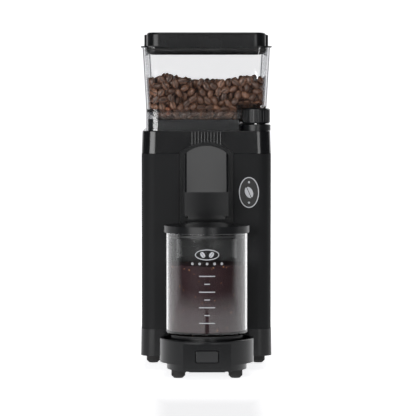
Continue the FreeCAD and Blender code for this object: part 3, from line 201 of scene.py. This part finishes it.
world = bpy.data.worlds.new("studio_air")
world.use_nodes = True
air = world.node_tree.nodes["Background"]
air.inputs["Color"].default_value = (0.93, 0.96, 1.0, 1.0)
air.inputs["Strength"].default_value = 0.04
air_wire = Wire(world.node_tree, air.outputs[0])
backdrop = air_wire.add("ShaderNodeBackground", {}, {"Color": (0.97, 0.98, 1.0, 1.0), "Strength": 0.92})
seen_air = air_wire.add("ShaderNodeMixShader", {}, {
    0: air_wire.add("ShaderNodeLightPath", {}, {}, 0), 1: air_wire, 2: backdrop})
world.node_tree.links.new(seen_air.socket, world.node_tree.nodes["World Output"].inputs["Surface"])
bpy.context.scene.world = world
bpy.context.scene.view_settings.view_transform = "Standard"


def softbox(name, place, aim, width, height, power):
    """Rectangular area lamp at place, facing aim."""
    data = bpy.data.lights.new(name, "AREA")
    data.shape = "RECTANGLE"
    data.size = width
    data.size_y = height
    data.energy = power
    lamp = bpy.data.objects.new(name, data)
    lamp.location = place
    lamp.rotation_euler = (Vector(aim) - Vector(place)).to_track_quat("-Z", "Y").to_euler()
    bpy.context.scene.collection.objects.link(lamp)


middle = (0.0, 0.0, 0.17)
softbox("softbox_left", (-1.36, -2.56, 0.42), middle, 2.05, 1.0, 40.0)
softbox("softbox_right", (0.78, -2.80, 0.42), middle, 0.85, 1.0, 11.0)
softbox("softbox_front_high", (0.0, -1.45, 2.25), middle, 1.1, 0.9, 7.0)
softbox("softbox_top", (0.0, 0.1, 2.4), middle, 1.4, 1.4, 10.0)
softbox("softbox_back", (0.9, 2.2, 1.4), middle, 1.2, 1.2, 12.0)

camera_place = Vector((-0.022, -2.6524, 0.301))
camera_aim = Vector((0.00165, -0.0324, 0.168))
camera_data = bpy.data.cameras.new("camera")
camera_data.lens = 220.7
camera_data.sensor_width = 36.0
camera_data.clip_end = 30.0
camera = bpy.data.objects.new("camera", camera_data)
camera.location = camera_place
camera.rotation_euler = (camera_aim - camera_place).to_track_quat("-Z", "Y").to_euler()
bpy.context.scene.collection.objects.link(camera)
bpy.context.scene.camera = camera


# ---------------------------------------------------------------- base, bottom plate and feet
# The base is a hollow moulding in black ABS with a fine spark-eroded texture, closed underneath by a
# plate held with five steel screws. Six round rubber feet push into the plate.


def dress(material, *node_names):
    """Gives CAD nodes this finish."""
    for node_name in node_names:
        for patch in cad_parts[node_name].material_slots:
            patch.material = material


def moulded_plastic(name, low_tone, high_tone, gloss, texture_scale, texture_depth, shine=0.5):
    """Moulded plastic with a fine texture; gloss is its lowest and highest roughness."""
    material, shader, place = new_finish(name, Specular_IOR_Level=shine)
    cloud = place.grain(38.0, 4.0)
    texture = place.grain(texture_scale, 3.0, 0.6)
    worn = cloud * (gloss[1] - gloss[0]) + gloss[0]
    feed(shader, Base_Color=cloud.blend_colours(low_tone, high_tone), Roughness=worn,
         Normal=texture.bump(texture_depth, 0.55))
    return material


def metal(name, low_tone, high_tone, gloss, stretch=(1.0, 1.0, 1.0), scale=500.0, depth=0.00002):
    """Bare metal whose machining marks are drawn out along the axes with a small stretch."""
    material, shader, place = new_finish(name, Metallic=1.0)
    drawn = place.add("ShaderNodeMapping", {}, {"Vector": place, "Scale": stretch})
    marks = drawn.grain(scale, 3.0, 0.6)
    haze = place.grain(60.0, 3.0)
    feed(shader, Base_Color=haze.blend_colours(low_tone, high_tone),
         Roughness=marks * (gloss[1] - gloss[0]) + gloss[0], Normal=marks.bump(depth, 0.5))
    return material


base_abs = moulded_plastic("base_abs", (0.0062, 0.0065, 0.0072), (0.0090, 0.0094, 0.0102), (0.22, 0.27),
                           2200.0, 0.00003, 0.32)
dress(base_abs, "base", "base_plate")
bright_steel = metal("bright_steel", (0.50, 0.50, 0.49), (0.62, 0.61, 0.60), (0.22, 0.40), (1, 1, 0.1))
dress(bright_steel, "base_screws", "cover_rails", "rear_screws", "chamber_screws", "upper_burr_screws",
      "lower_burr_screws", "plate_screws", "motor_screws", "board_brackets", "support_posts")
rubber, rubber_shader, rubber_place = new_finish("foot_rubber", Specular_IOR_Level=0.35)
rubber_dust = rubber_place.grain(90.0, 4.0)
feed(rubber_shader, Base_Color=rubber_dust.blend_colours((0.012, 0.012, 0.012), (0.032, 0.031, 0.030)),
     Roughness=rubber_dust * 0.2 + 0.66, Normal=rubber_place.grain(1500.0).bump(0.00004, 0.6))
dress(rubber, "feet", "cord_gland")

# ---------------------------------------------------------------- jar mat, power button and switch
# The jar stands on a soft silicone disc. The button is the same ABS as the base, smoother where it is
# pressed, and works a boxed snap switch with tinned blades behind it.

mat_silicone, mat_shader, mat_place = new_finish("mat_silicone", Specular_IOR_Level=0.4)
mat_rings = mat_place.grain(300.0, 2.0)
feed(mat_shader, Base_Color=mat_rings.blend_colours((0.020, 0.020, 0.021), (0.034, 0.034, 0.035)),
     Roughness=mat_rings * 0.15 + 0.55, Normal=mat_rings.bump(0.00004, 0.5))
dress(mat_silicone, "jar_mat")
button_abs = moulded_plastic("button_abs", (0.0095, 0.0100, 0.0110), (0.0130, 0.0135, 0.0145), (0.26, 0.34),
                             3000.0, 0.000015)
dress(button_abs, "power_button")
relay_case, relay_shader, relay_place = new_finish("relay_case")
relay_tone = relay_place.grain(120.0, 3.0)
feed(relay_shader, Base_Color=relay_tone.blend_colours((0.016, 0.018, 0.022), (0.050, 0.053, 0.060)),
     Roughness=relay_tone * 0.25 + 0.3, Normal=relay_place.grain(900.0).bump(0.00003, 0.4))
dress(relay_case, "power_switch", "board_parts", "interlock_switch")

# ---------------------------------------------------------------- metal housing, rear cover and cap
# The housing is folded steel sheet under a matt black powder coat, with a pressed steel rear cover
# screwed to two rails. The cap above it is a satin ABS moulding.

powder_coat, coat_shader, coat_place = new_finish("powder_coat", Specular_IOR_Level=0.2)
coat_cloud = coat_place.grain(22.0, 3.0)
coat_flecks = coat_place.grain(1150.0, 4.0, 0.65)
coat_tone = (coat_cloud * 0.6 + coat_flecks * 0.4).blend_colours((0.0058, 0.0062, 0.0070),
                                                              (0.0095, 0.0100, 0.0110))
feed(coat_shader, Base_Color=coat_tone, Roughness=coat_flecks * 0.14 + 0.50,
     Normal=coat_flecks.bump(0.00009, 0.6))
dress(powder_coat, "housing", "rear_cover")
cap_abs = moulded_plastic("cap_abs", (0.0055, 0.0058, 0.0066), (0.0080, 0.0083, 0.0092), (0.15, 0.20),
                          2600.0, 0.00002)
dress(cap_abs, "top_cap")

# ---------------------------------------------------------------- chute
# Three glossy black mouldings: an arched frame clipped into the housing's front, the bent cover
# that steers the grounds down into the jar, and the duct behind it from the grinding chamber.

chute_abs = moulded_plastic("chute_abs", (0.0060, 0.0064, 0.0072), (0.0090, 0.0094, 0.0102), (0.19, 0.24),
                            2400.0, 0.00002)
dress(chute_abs, "chute_frame", "chute_cover", "chute_duct")

# ---------------------------------------------------------------- grinding chamber and burrs
# The chamber, burr holder and carrier are die-cast aluminium, turned where they run together. The
# burrs are hardened tool steel, ground bright on their teeth, with fine coffee dust in the castings.

cast_alloy, alloy_shader, alloy_place = new_finish("cast_alloy", Metallic=1.0)
alloy_skin = alloy_place.grain(420.0, 4.0, 0.65)
alloy_dust = alloy_place.grain(45.0, 5.0)
feed(alloy_shader, Base_Color=alloy_dust.blend_colours((0.42, 0.41, 0.40), (0.60, 0.60, 0.60)),
     Roughness=alloy_skin * 0.25 + 0.34, Normal=alloy_skin.bump(0.00006, 0.5))
dress(cast_alloy, "grinding_chamber", "burr_holder", "burr_carrier", "gear_tray", "gearbox_plate")
tool_steel = metal("tool_steel", (0.33, 0.33, 0.34), (0.46, 0.46, 0.46), (0.16, 0.30), (1, 1, 0.2), 900.0)
dress(tool_steel, "upper_burr", "lower_burr")

# ---------------------------------------------------------------- grind adjustment
# A turned steel spindle joins the ribbed knob to a brass pinion, which turns the brass ring round the
# chamber. The knob is satin ABS with thirty fine grip grooves.

turned_steel = metal("turned_steel", (0.55, 0.55, 0.54), (0.66, 0.65, 0.64), (0.14, 0.26), (0.2, 0.2, 2.0),
                     1500.0)
dress(turned_steel, "knob_shaft", "burr_shaft", "shaft_bearings", "motor_shaft")
brass = metal("machined_brass", (0.62, 0.42, 0.16), (0.74, 0.52, 0.22), (0.20, 0.34), (0.3, 0.3, 1.5), 800.0)
dress(brass, "knob_pinion", "adjust_ring", "motor_pinion")
trim_abs = moulded_plastic("trim_abs", (0.0065, 0.0069, 0.0077), (0.0095, 0.0099, 0.0108), (0.26, 0.32),
                           2400.0, 0.000025, 0.34)
dress(trim_abs, "adjust_knob", "knob_base", "hopper_collar", "name_panel")

# ---------------------------------------------------------------- gearbox and motor
# A moulded acetal wheel takes the drive from the motor's brass pinion. The motor is a zinc-plated can
# with ferrite magnets, and its rotor is a stack of thin steel laminations.

acetal, acetal_shader, acetal_place = new_finish("acetal", Subsurface_Weight=0.08)
acetal_cloud = acetal_place.grain(70.0, 3.0)
feed(acetal_shader, Base_Color=acetal_cloud.blend_colours((0.62, 0.60, 0.54), (0.74, 0.72, 0.66)),
     Roughness=acetal_cloud * 0.12 + 0.30, Normal=acetal_place.grain(900.0).bump(0.00002, 0.4))
dress(acetal, "drive_gear")
plated_can = metal("plated_can", (0.46, 0.46, 0.44), (0.60, 0.58, 0.52), (0.24, 0.36), (1, 1, 0.08), 400.0)
dress(plated_can, "motor_case")
laminations, stack_shader, stack_place = new_finish("laminations", Metallic=1.0)
stack_bands = stack_place.add("ShaderNodeTexWave", {"bands_direction": "Z"},
                              {"Vector": stack_place, "Scale": 320.0, "Distortion": 0.4}, 1)
feed(stack_shader, Base_Color=stack_bands.blend_colours((0.16, 0.15, 0.14), (0.42, 0.41, 0.40)),
     Roughness=stack_bands * 0.2 + 0.34, Normal=stack_bands.bump(0.0002, 0.6))
dress(laminations, "rotor")
ferrite, ferrite_shader, ferrite_place = new_finish("ferrite", Specular_IOR_Level=0.4)
ferrite_grain = ferrite_place.grain(600.0, 4.0, 0.7)
feed(ferrite_shader, Base_Color=ferrite_grain.blend_colours((0.030, 0.029, 0.028), (0.070, 0.068, 0.066)),
     Roughness=ferrite_grain * 0.2 + 0.6, Normal=ferrite_grain.bump(0.00005, 0.5))
dress(ferrite, "motor_magnets")
nylon = moulded_plastic("fan_nylon", (0.030, 0.030, 0.032), (0.050, 0.050, 0.052), (0.42, 0.55), 1800.0,
                        0.00003)
dress(nylon, "motor_fan", "motor_end_cap")

# ---------------------------------------------------------------- control board
# The speed board is a fibreglass panel under green solder mask, with copper tracks that show through
# it as paler lines, carried on folded steel brackets.

solder_mask, mask_shader, mask_place = new_finish("solder_mask", Coat_Weight=0.3, Coat_Roughness=0.15)
tracks = mask_place.add("ShaderNodeTexBrick", {}, {
    "Vector": mask_place, "Color1": (0.0, 0.0, 0.0, 1.0), "Color2": (0.25, 0.25, 0.25, 1.0),
    "Mortar": (1.0, 1.0, 1.0, 1.0), "Scale": 140.0, "Mortar Size": 0.06})
feed(mask_shader, Base_Color=tracks.blend_colours((0.008, 0.090, 0.035), (0.050, 0.230, 0.100)),
     Roughness=tracks * -0.12 + 0.42, Normal=tracks.bump(0.00004, 0.6))
dress(solder_mask, "circuit_board")

# ---------------------------------------------------------------- hopper
# The hopper is a clear moulded bin whose floor slopes to a spout over the burrs, with a square pocket
# at its front right corner for the knob. Handling has left the faintest haze on it.


def clear_finish(name, tint, edge_on_shade_colour, edge_from, ior, haze):
    """Clear plastic or glass with a painted shade that darkens it where it is seen edge on, in place of
    the dark reflections there. Rays from the lamps pass through it; haze is a wire or a number for its
    roughness."""
    material, shader, place = new_finish(name, IOR=ior, Transmission_Weight=1.0)
    edge_on = place.add("ShaderNodeLayerWeight", {}, {"Blend": 0.5}, 1)
    # Painted shade: the colour turns to the second, darker colour where the surface is seen edge on.
    painted_edge_shade = edge_on.rise(edge_from, edge_from + 0.25)
    handling = place.grain(26.0, 5.0, 0.6)
    feed(shader, Base_Color=painted_edge_shade.blend_colours(tint, edge_on_shade_colour), Roughness=handling * haze)
    tree = material.node_tree
    lamp_ray = place.add("ShaderNodeLightPath", {}, {}, 1)
    through = place.add("ShaderNodeBsdfTransparent", {}, {"Color": (0.94, 0.94, 0.94, 1.0)})
    clear = place.add("ShaderNodeMixShader", {}, {0: lamp_ray, 1: Wire(tree, shader.outputs[0]), 2: through})
    tree.links.new(clear.socket, tree.nodes["Material Output"].inputs["Surface"])
    return material, shader, place, handling


# The hopper's second, near black colour is painted shade on walls seen edge on, in place of dark
# reflections.
hopper_clear, hopper_shader, hopper_place, hopper_handling = clear_finish(
    "hopper_clear", (0.975, 0.975, 0.975), (0.035, 0.038, 0.050), 0.40, 1.49, 0.02)
mm = 0.001
collar_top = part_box("hopper_collar")[1][2]
hopper_height = hopper_place.part(2)
funnel_top = hopper_height.rise(collar_top + 9.7 * mm, collar_top + 8.7 * mm)
funnel_foot = hopper_height.rise(collar_top + 0.3 * mm, collar_top + 1.3 * mm)
feed(hopper_shader, Roughness=hopper_handling * 0.02 + funnel_top * funnel_foot * 0.16)
dress(hopper_clear, "hopper")

# ---------------------------------------------------------------- coffee beans
# Roasted beans fill the hopper, lying flat against its walls and at every angle elsewhere, in a pile
# that rises at both sides. Each has a rounded back and a creased flat face, and its own roast; the
# crease is painted near black as shade.

bean_count = 1260
bean_room = 4.0 * mm
bean_sweeps = 45
bean_half = Vector((5.2, 3.75, 2.9)) * mm
wall_room = bean_half.z * 1.12
bean_low, bean_high = (Vector(corner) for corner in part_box("coffee_beans"))
bean_level = bean_high.z


def pile_rise(x, y):
    """Height of the pile's top at a place above or below its level."""
    sides = 6.0 * math.exp(-((x / mm + 38) / 17) ** 2) + 4.6 * math.exp(-((x / mm - 48) / 20) ** 2)
    rough = noise.noise(Vector((x, y, 0.0)) * 85.0) * 3.6
    return (sides - 1.4 + rough) * mm


walls = bmesh.new()
walls.from_mesh(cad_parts["coffee_beans"].data)
wall_tree = BVHTree.FromBMesh(walls)
walls.free()


def settle(place):
    """Moves a bean's middle inside the walls and under the pile's top; also gives the wall's side."""
    reach = Vector((place.x, place.y, min(place.z, bean_level - 12 * mm)))
    nearest, facing, _, _ = wall_tree.find_nearest(reach)
    depth = (nearest - reach).dot(facing)
    if depth < wall_room:
        place = place + facing * (depth - wall_room)
    ceiling = bean_level + pile_rise(place.x, place.y) - bean_half.z
    if place.z > ceiling:
        place.z = ceiling
    return place, facing, depth


draw = random.Random(7)
bean_places = []
while len(bean_places) < bean_count:
    throw = Vector([draw.uniform(low, high + 4 * mm) for low, high in zip(bean_low, bean_high)])
    reach = Vector((throw.x, throw.y, min(throw.z, bean_level - 1 * mm)))
    nearest, facing, _, _ = wall_tree.find_nearest(reach)
    if (nearest - reach).dot(facing) > 0 and throw.z < bean_level + pile_rise(throw.x, throw.y):
        bean_places.append(throw)
for _ in range(bean_sweeps):
    crowd = KDTree(bean_count)
    for number, place in enumerate(bean_places):
        crowd.insert(place, number)
    crowd.balance()
    moved = []
    for number, place in enumerate(bean_places):
        push = Vector()
        for other, other_number, gap in crowd.find_range(place, 2 * bean_room):
            if other_number != number and gap > 0:
                push += (place - other) * ((2 * bean_room - gap) / gap * 0.35)
        moved.append(settle(place + push)[0])
    bean_places = moved

bean_shape = bmesh.new()
bmesh.ops.create_uvsphere(bean_shape, u_segments=8, v_segments=6, radius=1.0)
bmesh.ops.rotate(bean_shape, verts=bean_shape.verts, matrix=Matrix.Rotation(math.radians(90), 3, "Y"))
at_layer = bean_shape.verts.layers.float_vector.new("bean_at")
for corner in bean_shape.verts:
    corner[at_layer] = corner.co
    if corner.co.z < -0.15:
        corner.co.z *= 0.62
    if abs(corner.co.y) < 0.05 and abs(corner.co.x) < 0.9 and corner.co.z < 0:
        corner.co.z *= 0.45
bean_mesh = bpy.data.meshes.new("one_bean")
bean_shape.to_mesh(bean_mesh)
bean_shape.free()

heap = bmesh.new()
roast_layer = heap.verts.layers.float.new("roast")
heap.verts.layers.float_vector.new("bean_at")
for place in bean_places:
    _, facing, depth = settle(place)
    if depth < bean_half.x * 1.1:
        flat = facing.to_track_quat("Z" if draw.random() < 0.5 else "-Z", "Y")
        tilt = Euler((draw.gauss(0, 0.10), draw.gauss(0, 0.10), draw.uniform(0, math.tau)))
        lie = flat @ tilt.to_quaternion()
    else:
        lie = Euler([draw.uniform(0, math.tau) for _ in range(3)]).to_quaternion()
    size = draw.uniform(0.90, 1.08)
    spread = Matrix.LocRotScale(place, lie, bean_half * size)
    first = len(heap.verts)
    heap.from_mesh(bean_mesh)
    heap.verts.ensure_lookup_table()
    fresh = heap.verts[first:]
    bmesh.ops.transform(heap, matrix=spread, verts=fresh)
    roast = draw.random()
    for corner in fresh:
        corner[roast_layer] = roast
bpy.data.meshes.remove(bean_mesh)

bean_skin, bean_shader, bean_grain_place = new_finish("bean_skin", Specular_IOR_Level=0.5)
roast_wire = bean_grain_place.add("ShaderNodeAttribute", {"attribute_name": "roast"}, {}, 2)
bean_at = bean_grain_place.add("ShaderNodeAttribute", {"attribute_name": "bean_at"}, {}, 1)
bean_mottle = bean_grain_place.grain(420.0, 4.0, 0.6)
bean_wander = bean_grain_place.grain(160.0, 1.0) * 0.16 - 0.08
crease_line = bean_at.maths("ABSOLUTE", bean_at.part(1) + bean_wander).rise(0.17, 0.05)
flat_side = bean_at.add("ShaderNodeMapRange", {}, {"Value": bean_at.part(2), "From Min": -0.15,
                                                   "From Max": -0.35})
# The crease mask both dents the bump and paints shade into the crease.
crease_dent_and_painted_shade = crease_line * flat_side
bean_tone = roast_wire.add("ShaderNodeValToRGB", {"stops": [
    (0.0, (0.058, 0.025, 0.013)), (0.4, (0.094, 0.042, 0.023)), (0.8, (0.135, 0.063, 0.035)),
    (0.99, (0.200, 0.096, 0.055)), (1.0, (0.300, 0.080, 0.030))]}, {0: roast_wire})
bean_patches = bean_mottle.add("ShaderNodeMix", {"data_type": "RGBA", "blend_type": "MULTIPLY"}, {
    0: 0.7, 6: bean_tone, 7: bean_mottle.blend_colours((0.45, 0.42, 0.40), (1.25, 1.20, 1.15))}, 2)
# Painted shade: the crease is coloured near black.
feed(bean_shader, Base_Color=crease_dent_and_painted_shade.blend_colours(bean_patches, (0.020, 0.009, 0.005)),
     Roughness=bean_mottle * 0.22 + 0.30, Normal=(bean_mottle * 0.3 - crease_dent_and_painted_shade).bump(0.0006, 0.6))
beans = mesh_piece("roasted_beans", heap, bean_skin)
shade_smooth(beans)
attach(beans, "hopper")
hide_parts("coffee_beans")

# ---------------------------------------------------------------- hopper lid
# A two-part black lid: a raised slab with a grip down each side, over a flange and a plug with a soft
# seal that fits inside the hopper's rim.

lid_abs = moulded_plastic("lid_abs", (0.0065, 0.0069, 0.0077), (0.0095, 0.0099, 0.0108), (0.22, 0.28),
                          2400.0, 0.000025, 0.32)
dress(lid_abs, "hopper_lid")
dress(rubber, "lid_seal")

# ---------------------------------------------------------------- jar
# The jar is a plain round glass beaker with a thick floor. Its measuring marks and a plain bean emblem
# are fired on in pale grey enamel.

# The jar's second colour is a faint painted shade where the glass is seen edge on.
jar_glass = clear_finish("jar_glass", (0.985, 0.99, 0.985), (0.90, 0.92, 0.91), 0.7, 1.50, 0.02)[0]
dress(jar_glass, "jar")

jar_low, jar_high = (Vector(corner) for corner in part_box("jar"))
jar_middle = (jar_low + jar_high) / 2
jar_outside = (jar_high.x - jar_low.x) / 2
print_thickness = 0.06 * mm
enamel, enamel_shader, enamel_place = new_finish("pale_enamel", Specular_IOR_Level=0.4)
enamel_wear = enamel_place.grain(700.0, 3.0, 0.6)
feed(enamel_shader, Base_Color=enamel_wear.blend_colours((0.42, 0.43, 0.45), (0.66, 0.67, 0.70)),
     Roughness=enamel_wear * 0.2 + 0.4, Normal=enamel_wear.bump(0.00002, 0.5))


def wrap_round_jar(print_shape):
    """Bends a print drawn flat, x across and z up, round the outside of the glass."""
    for corner in print_shape.verts:
        turn = corner.co.x / jar_outside
        stand = jar_outside + 0.04 * mm - corner.co.y
        corner.co = Vector((jar_middle.x + stand * math.sin(turn), jar_middle.y - stand * math.cos(turn),
                            corner.co.z))


def raised_print(print_shape, thickness):
    """Gives a flat print its thickness, away from what it is printed on."""
    skin = print_shape.faces[:]
    pulled = bmesh.ops.extrude_face_region(print_shape, geom=skin, use_keep_orig=True)["geom"]
    bmesh.ops.translate(print_shape, vec=(0, -thickness, 0),
                        verts=[v for v in pulled if isinstance(v, bmesh.types.BMVert)])


def upright(x, z, width, height, lean=0.0):
    """Matrix that stands a level shape up to face the front, at a place and size."""
    return (Matrix.Translation((x, 0, z)) @ Matrix.Rotation(lean, 4, "Y") @
            Matrix.Diagonal((width, 1, height, 1)) @ Matrix.Rotation(math.radians(90), 4, "X"))


def flat_bar(print_shape, x, z, width, height, pieces=1):
    """Adds an upright rectangle that faces the front, cut into pieces across."""
    made = bmesh.ops.create_grid(print_shape, x_segments=pieces, y_segments=1, size=0.5)["verts"]
    bmesh.ops.transform(print_shape, matrix=upright(x, z, width, height), verts=made)


def oval_line(print_shape, x, z, half_x, half_z, line_width, steps):
    """Adds an oval ring that faces the front."""
    rims = set()
    for inset in (0.0, line_width):
        rim = bmesh.ops.create_circle(print_shape, segments=steps, radius=1.0)["verts"]
        bmesh.ops.transform(print_shape, matrix=upright(x, z, half_x - inset, half_z - inset), verts=rim)
        rims.update(edge for corner in rim for edge in corner.link_edges)
    bmesh.ops.bridge_loops(print_shape, edges=list(rims))


def half_bean(print_shape, x, z, half_x, half_z, lean, side):
    """Adds one half of an upright bean mark, cut along a slanting crease."""
    made = bmesh.ops.create_circle(print_shape, cap_ends=True, segments=28, radius=1.0)["verts"]
    around = upright(x, z, half_x, half_z, lean)
    bmesh.ops.transform(print_shape, matrix=around, verts=made)
    edges = {edge for corner in made for edge in corner.link_edges}
    faces = {face for corner in made for face in corner.link_faces}
    across = around.to_3x3() @ Vector((side, 0, 0))
    cut_at = Vector((x, 0, z)) + across.normalized() * half_x * 0.09
    bmesh.ops.bisect_plane(print_shape, geom=list(made) + list(edges) + list(faces), plane_co=cut_at,
                           plane_no=across, clear_inner=True)


jar_marks = bmesh.new()
for number, height in enumerate((61.0, 53.1, 45.2, 37.4, 29.6, 21.8, 14.0)):
    mark_width, mark_pieces = (16.0 * mm, 8) if number % 2 == 0 else (5.6 * mm, 3)
    flat_bar(jar_marks, 0.0, jar_low.z + height * mm, mark_width, 0.9 * mm, mark_pieces)
raised_print(jar_marks, print_thickness)
bmesh.ops.recalc_face_normals(jar_marks, faces=jar_marks.faces)
wrap_round_jar(jar_marks)
marks_piece = mesh_piece("jar_marks", jar_marks, enamel)
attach(marks_piece, "jar")

emblem = bmesh.new()
emblem_z = jar_low.z + 82.4 * mm
dots_z = jar_low.z + 73.4 * mm
oval_line(emblem, 0.0, emblem_z, 12.2 * mm, 5.4 * mm, 0.8 * mm, 56)
for lean, x in ((-35, -4.4), (35, 4.4)):
    for side in (1, -1):
        half_bean(emblem, x * mm, emblem_z, 2.1 * mm, 3.2 * mm, math.radians(lean), side)
for x in (-15.0, -7.5, 0.0, 7.5, 15.0):
    oval_line(emblem, x * mm, dots_z, 1.3 * mm, 1.3 * mm, 0.9 * mm, 16)
raised_print(emblem, print_thickness)
bmesh.ops.recalc_face_normals(emblem, faces=emblem.faces)
wrap_round_jar(emblem)
emblem_piece = mesh_piece("jar_emblem", emblem, enamel)
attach(emblem_piece, "jar")

# ---------------------------------------------------------------- ground coffee
# Medium grounds packed in the jar: level but pocked on top, and pressed flat against the glass, with
# paler chaff among the dark grains.

grounds_low, grounds_high = (Vector(corner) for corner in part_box("ground_coffee"))
grounds_middle = (grounds_low + grounds_high) / 2
grounds_radius = (grounds_high.x - grounds_low.x) / 2 - 0.05 * mm
grounds_top = grounds_high.z
foot_round = 2.5 * mm
near_axis = 0.001 * mm
grounds_steps = 30
grounds_drop = grounds_low.z + foot_round - grounds_top
grounds = bmesh.new()
profile = [(near_axis, grounds_top)]
for step in range(1, grounds_steps + 1):
    profile.append((grounds_radius * step / grounds_steps, grounds_top))
for step in range(1, grounds_steps + 1):
    profile.append((grounds_radius, grounds_top + grounds_drop * step / grounds_steps))
profile += [(grounds_radius - foot_round * 0.3, grounds_low.z + foot_round * 0.3),
            (grounds_radius - foot_round, grounds_low.z), (near_axis, grounds_low.z)]
line = [grounds.verts.new((grounds_middle.x + radius, grounds_middle.y, height))
        for radius, height in profile]
edges = [grounds.edges.new(pair) for pair in zip(line, line[1:])]
bmesh.ops.spin(grounds, geom=line + edges, cent=grounds_middle, axis=(0, 0, 1), steps=120,
               angle=math.tau, use_merge=True)
bmesh.ops.remove_doubles(grounds, verts=grounds.verts, dist=0.01 * mm)
for corner in grounds.verts:
    if corner.co.z > grounds_top - 0.01 * mm:
        hills = noise.noise(corner.co * 90.0) * 1.1 + noise.noise(corner.co * 420.0) * 0.5
        corner.co.z += (hills - 0.6) * mm
bmesh.ops.recalc_face_normals(grounds, faces=grounds.faces)

grounds_skin, grounds_shader, grounds_place = new_finish("grounds_skin", Specular_IOR_Level=0.05)
grains = grounds_place.add("ShaderNodeTexVoronoi", {}, {"Vector": grounds_place, "Scale": 900.0})
grain_tone = grounds_place.grain(260.0, 5.0, 0.7)
flecks = grounds_place.add("ShaderNodeTexVoronoi", {}, {"Vector": grounds_place, "Scale": 800.0}, 1)
fleck_share = flecks.add("ShaderNodeValToRGB", {"stops": [(0.0, (0, 0, 0)), (0.90, (0, 0, 0)),
                                                         (0.97, (1, 1, 1))]}, {0: flecks})
dark_grains = grain_tone.blend_colours((0.017, 0.0085, 0.0100), (0.036, 0.0185, 0.0215))
feed(grounds_shader, Base_Color=fleck_share.blend_colours(dark_grains, (0.30, 0.14, 0.06)),
     Roughness=grain_tone * 0.15 + 0.78, Normal=grains.bump(0.0005, 0.7))
grounds_piece = mesh_piece("jar_grounds", grounds, grounds_skin)
shade_smooth(grounds_piece)
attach(grounds_piece, "jar")
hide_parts("ground_coffee")

# ---------------------------------------------------------------- jar lid
# The jar's lid is a low domed disc in the same black ABS as the hopper's, with a silicone ring on its
# plug that grips the glass.

dress(lid_abs, "jar_lid")
dress(mat_silicone, "jar_lid_seal")

# ---------------------------------------------------------------- badge
# A thin printed film stuck to the housing, with a pale line round its edge and a plain bean mark.

badge_film = moulded_plastic("badge_film", (0.0065, 0.0065, 0.0070), (0.0085, 0.0085, 0.0090), (0.30, 0.38),
                             3000.0, 0.00001)
dress(badge_film, "badge")

badge_low, badge_high = (Vector(corner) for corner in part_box("badge"))
badge_middle = (badge_low + badge_high) / 2
badge_half = (badge_high - badge_low) / 2
badge_print = bmesh.new()
oval_line(badge_print, badge_middle.x, badge_middle.z, badge_half.x - 0.1 * mm, badge_half.z - 0.1 * mm,
          0.95 * mm, 72)
for side in (1, -1):
    half_bean(badge_print, badge_middle.x, badge_middle.z, 4.0 * mm, 6.0 * mm, math.radians(-24), side)
for drop in (-10.5, 10.5):
    oval_line(badge_print, badge_middle.x, badge_middle.z + drop * mm, 1.1 * mm, 1.1 * mm, 0.8 * mm, 20)
bmesh.ops.translate(badge_print, vec=(0, badge_low.y - 0.02 * mm, 0), verts=badge_print.verts)
raised_print(badge_print, print_thickness)
bmesh.ops.recalc_face_normals(badge_print, faces=badge_print.faces)
badge_piece = mesh_piece("badge_print", badge_print, enamel)
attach(badge_piece, "stand")
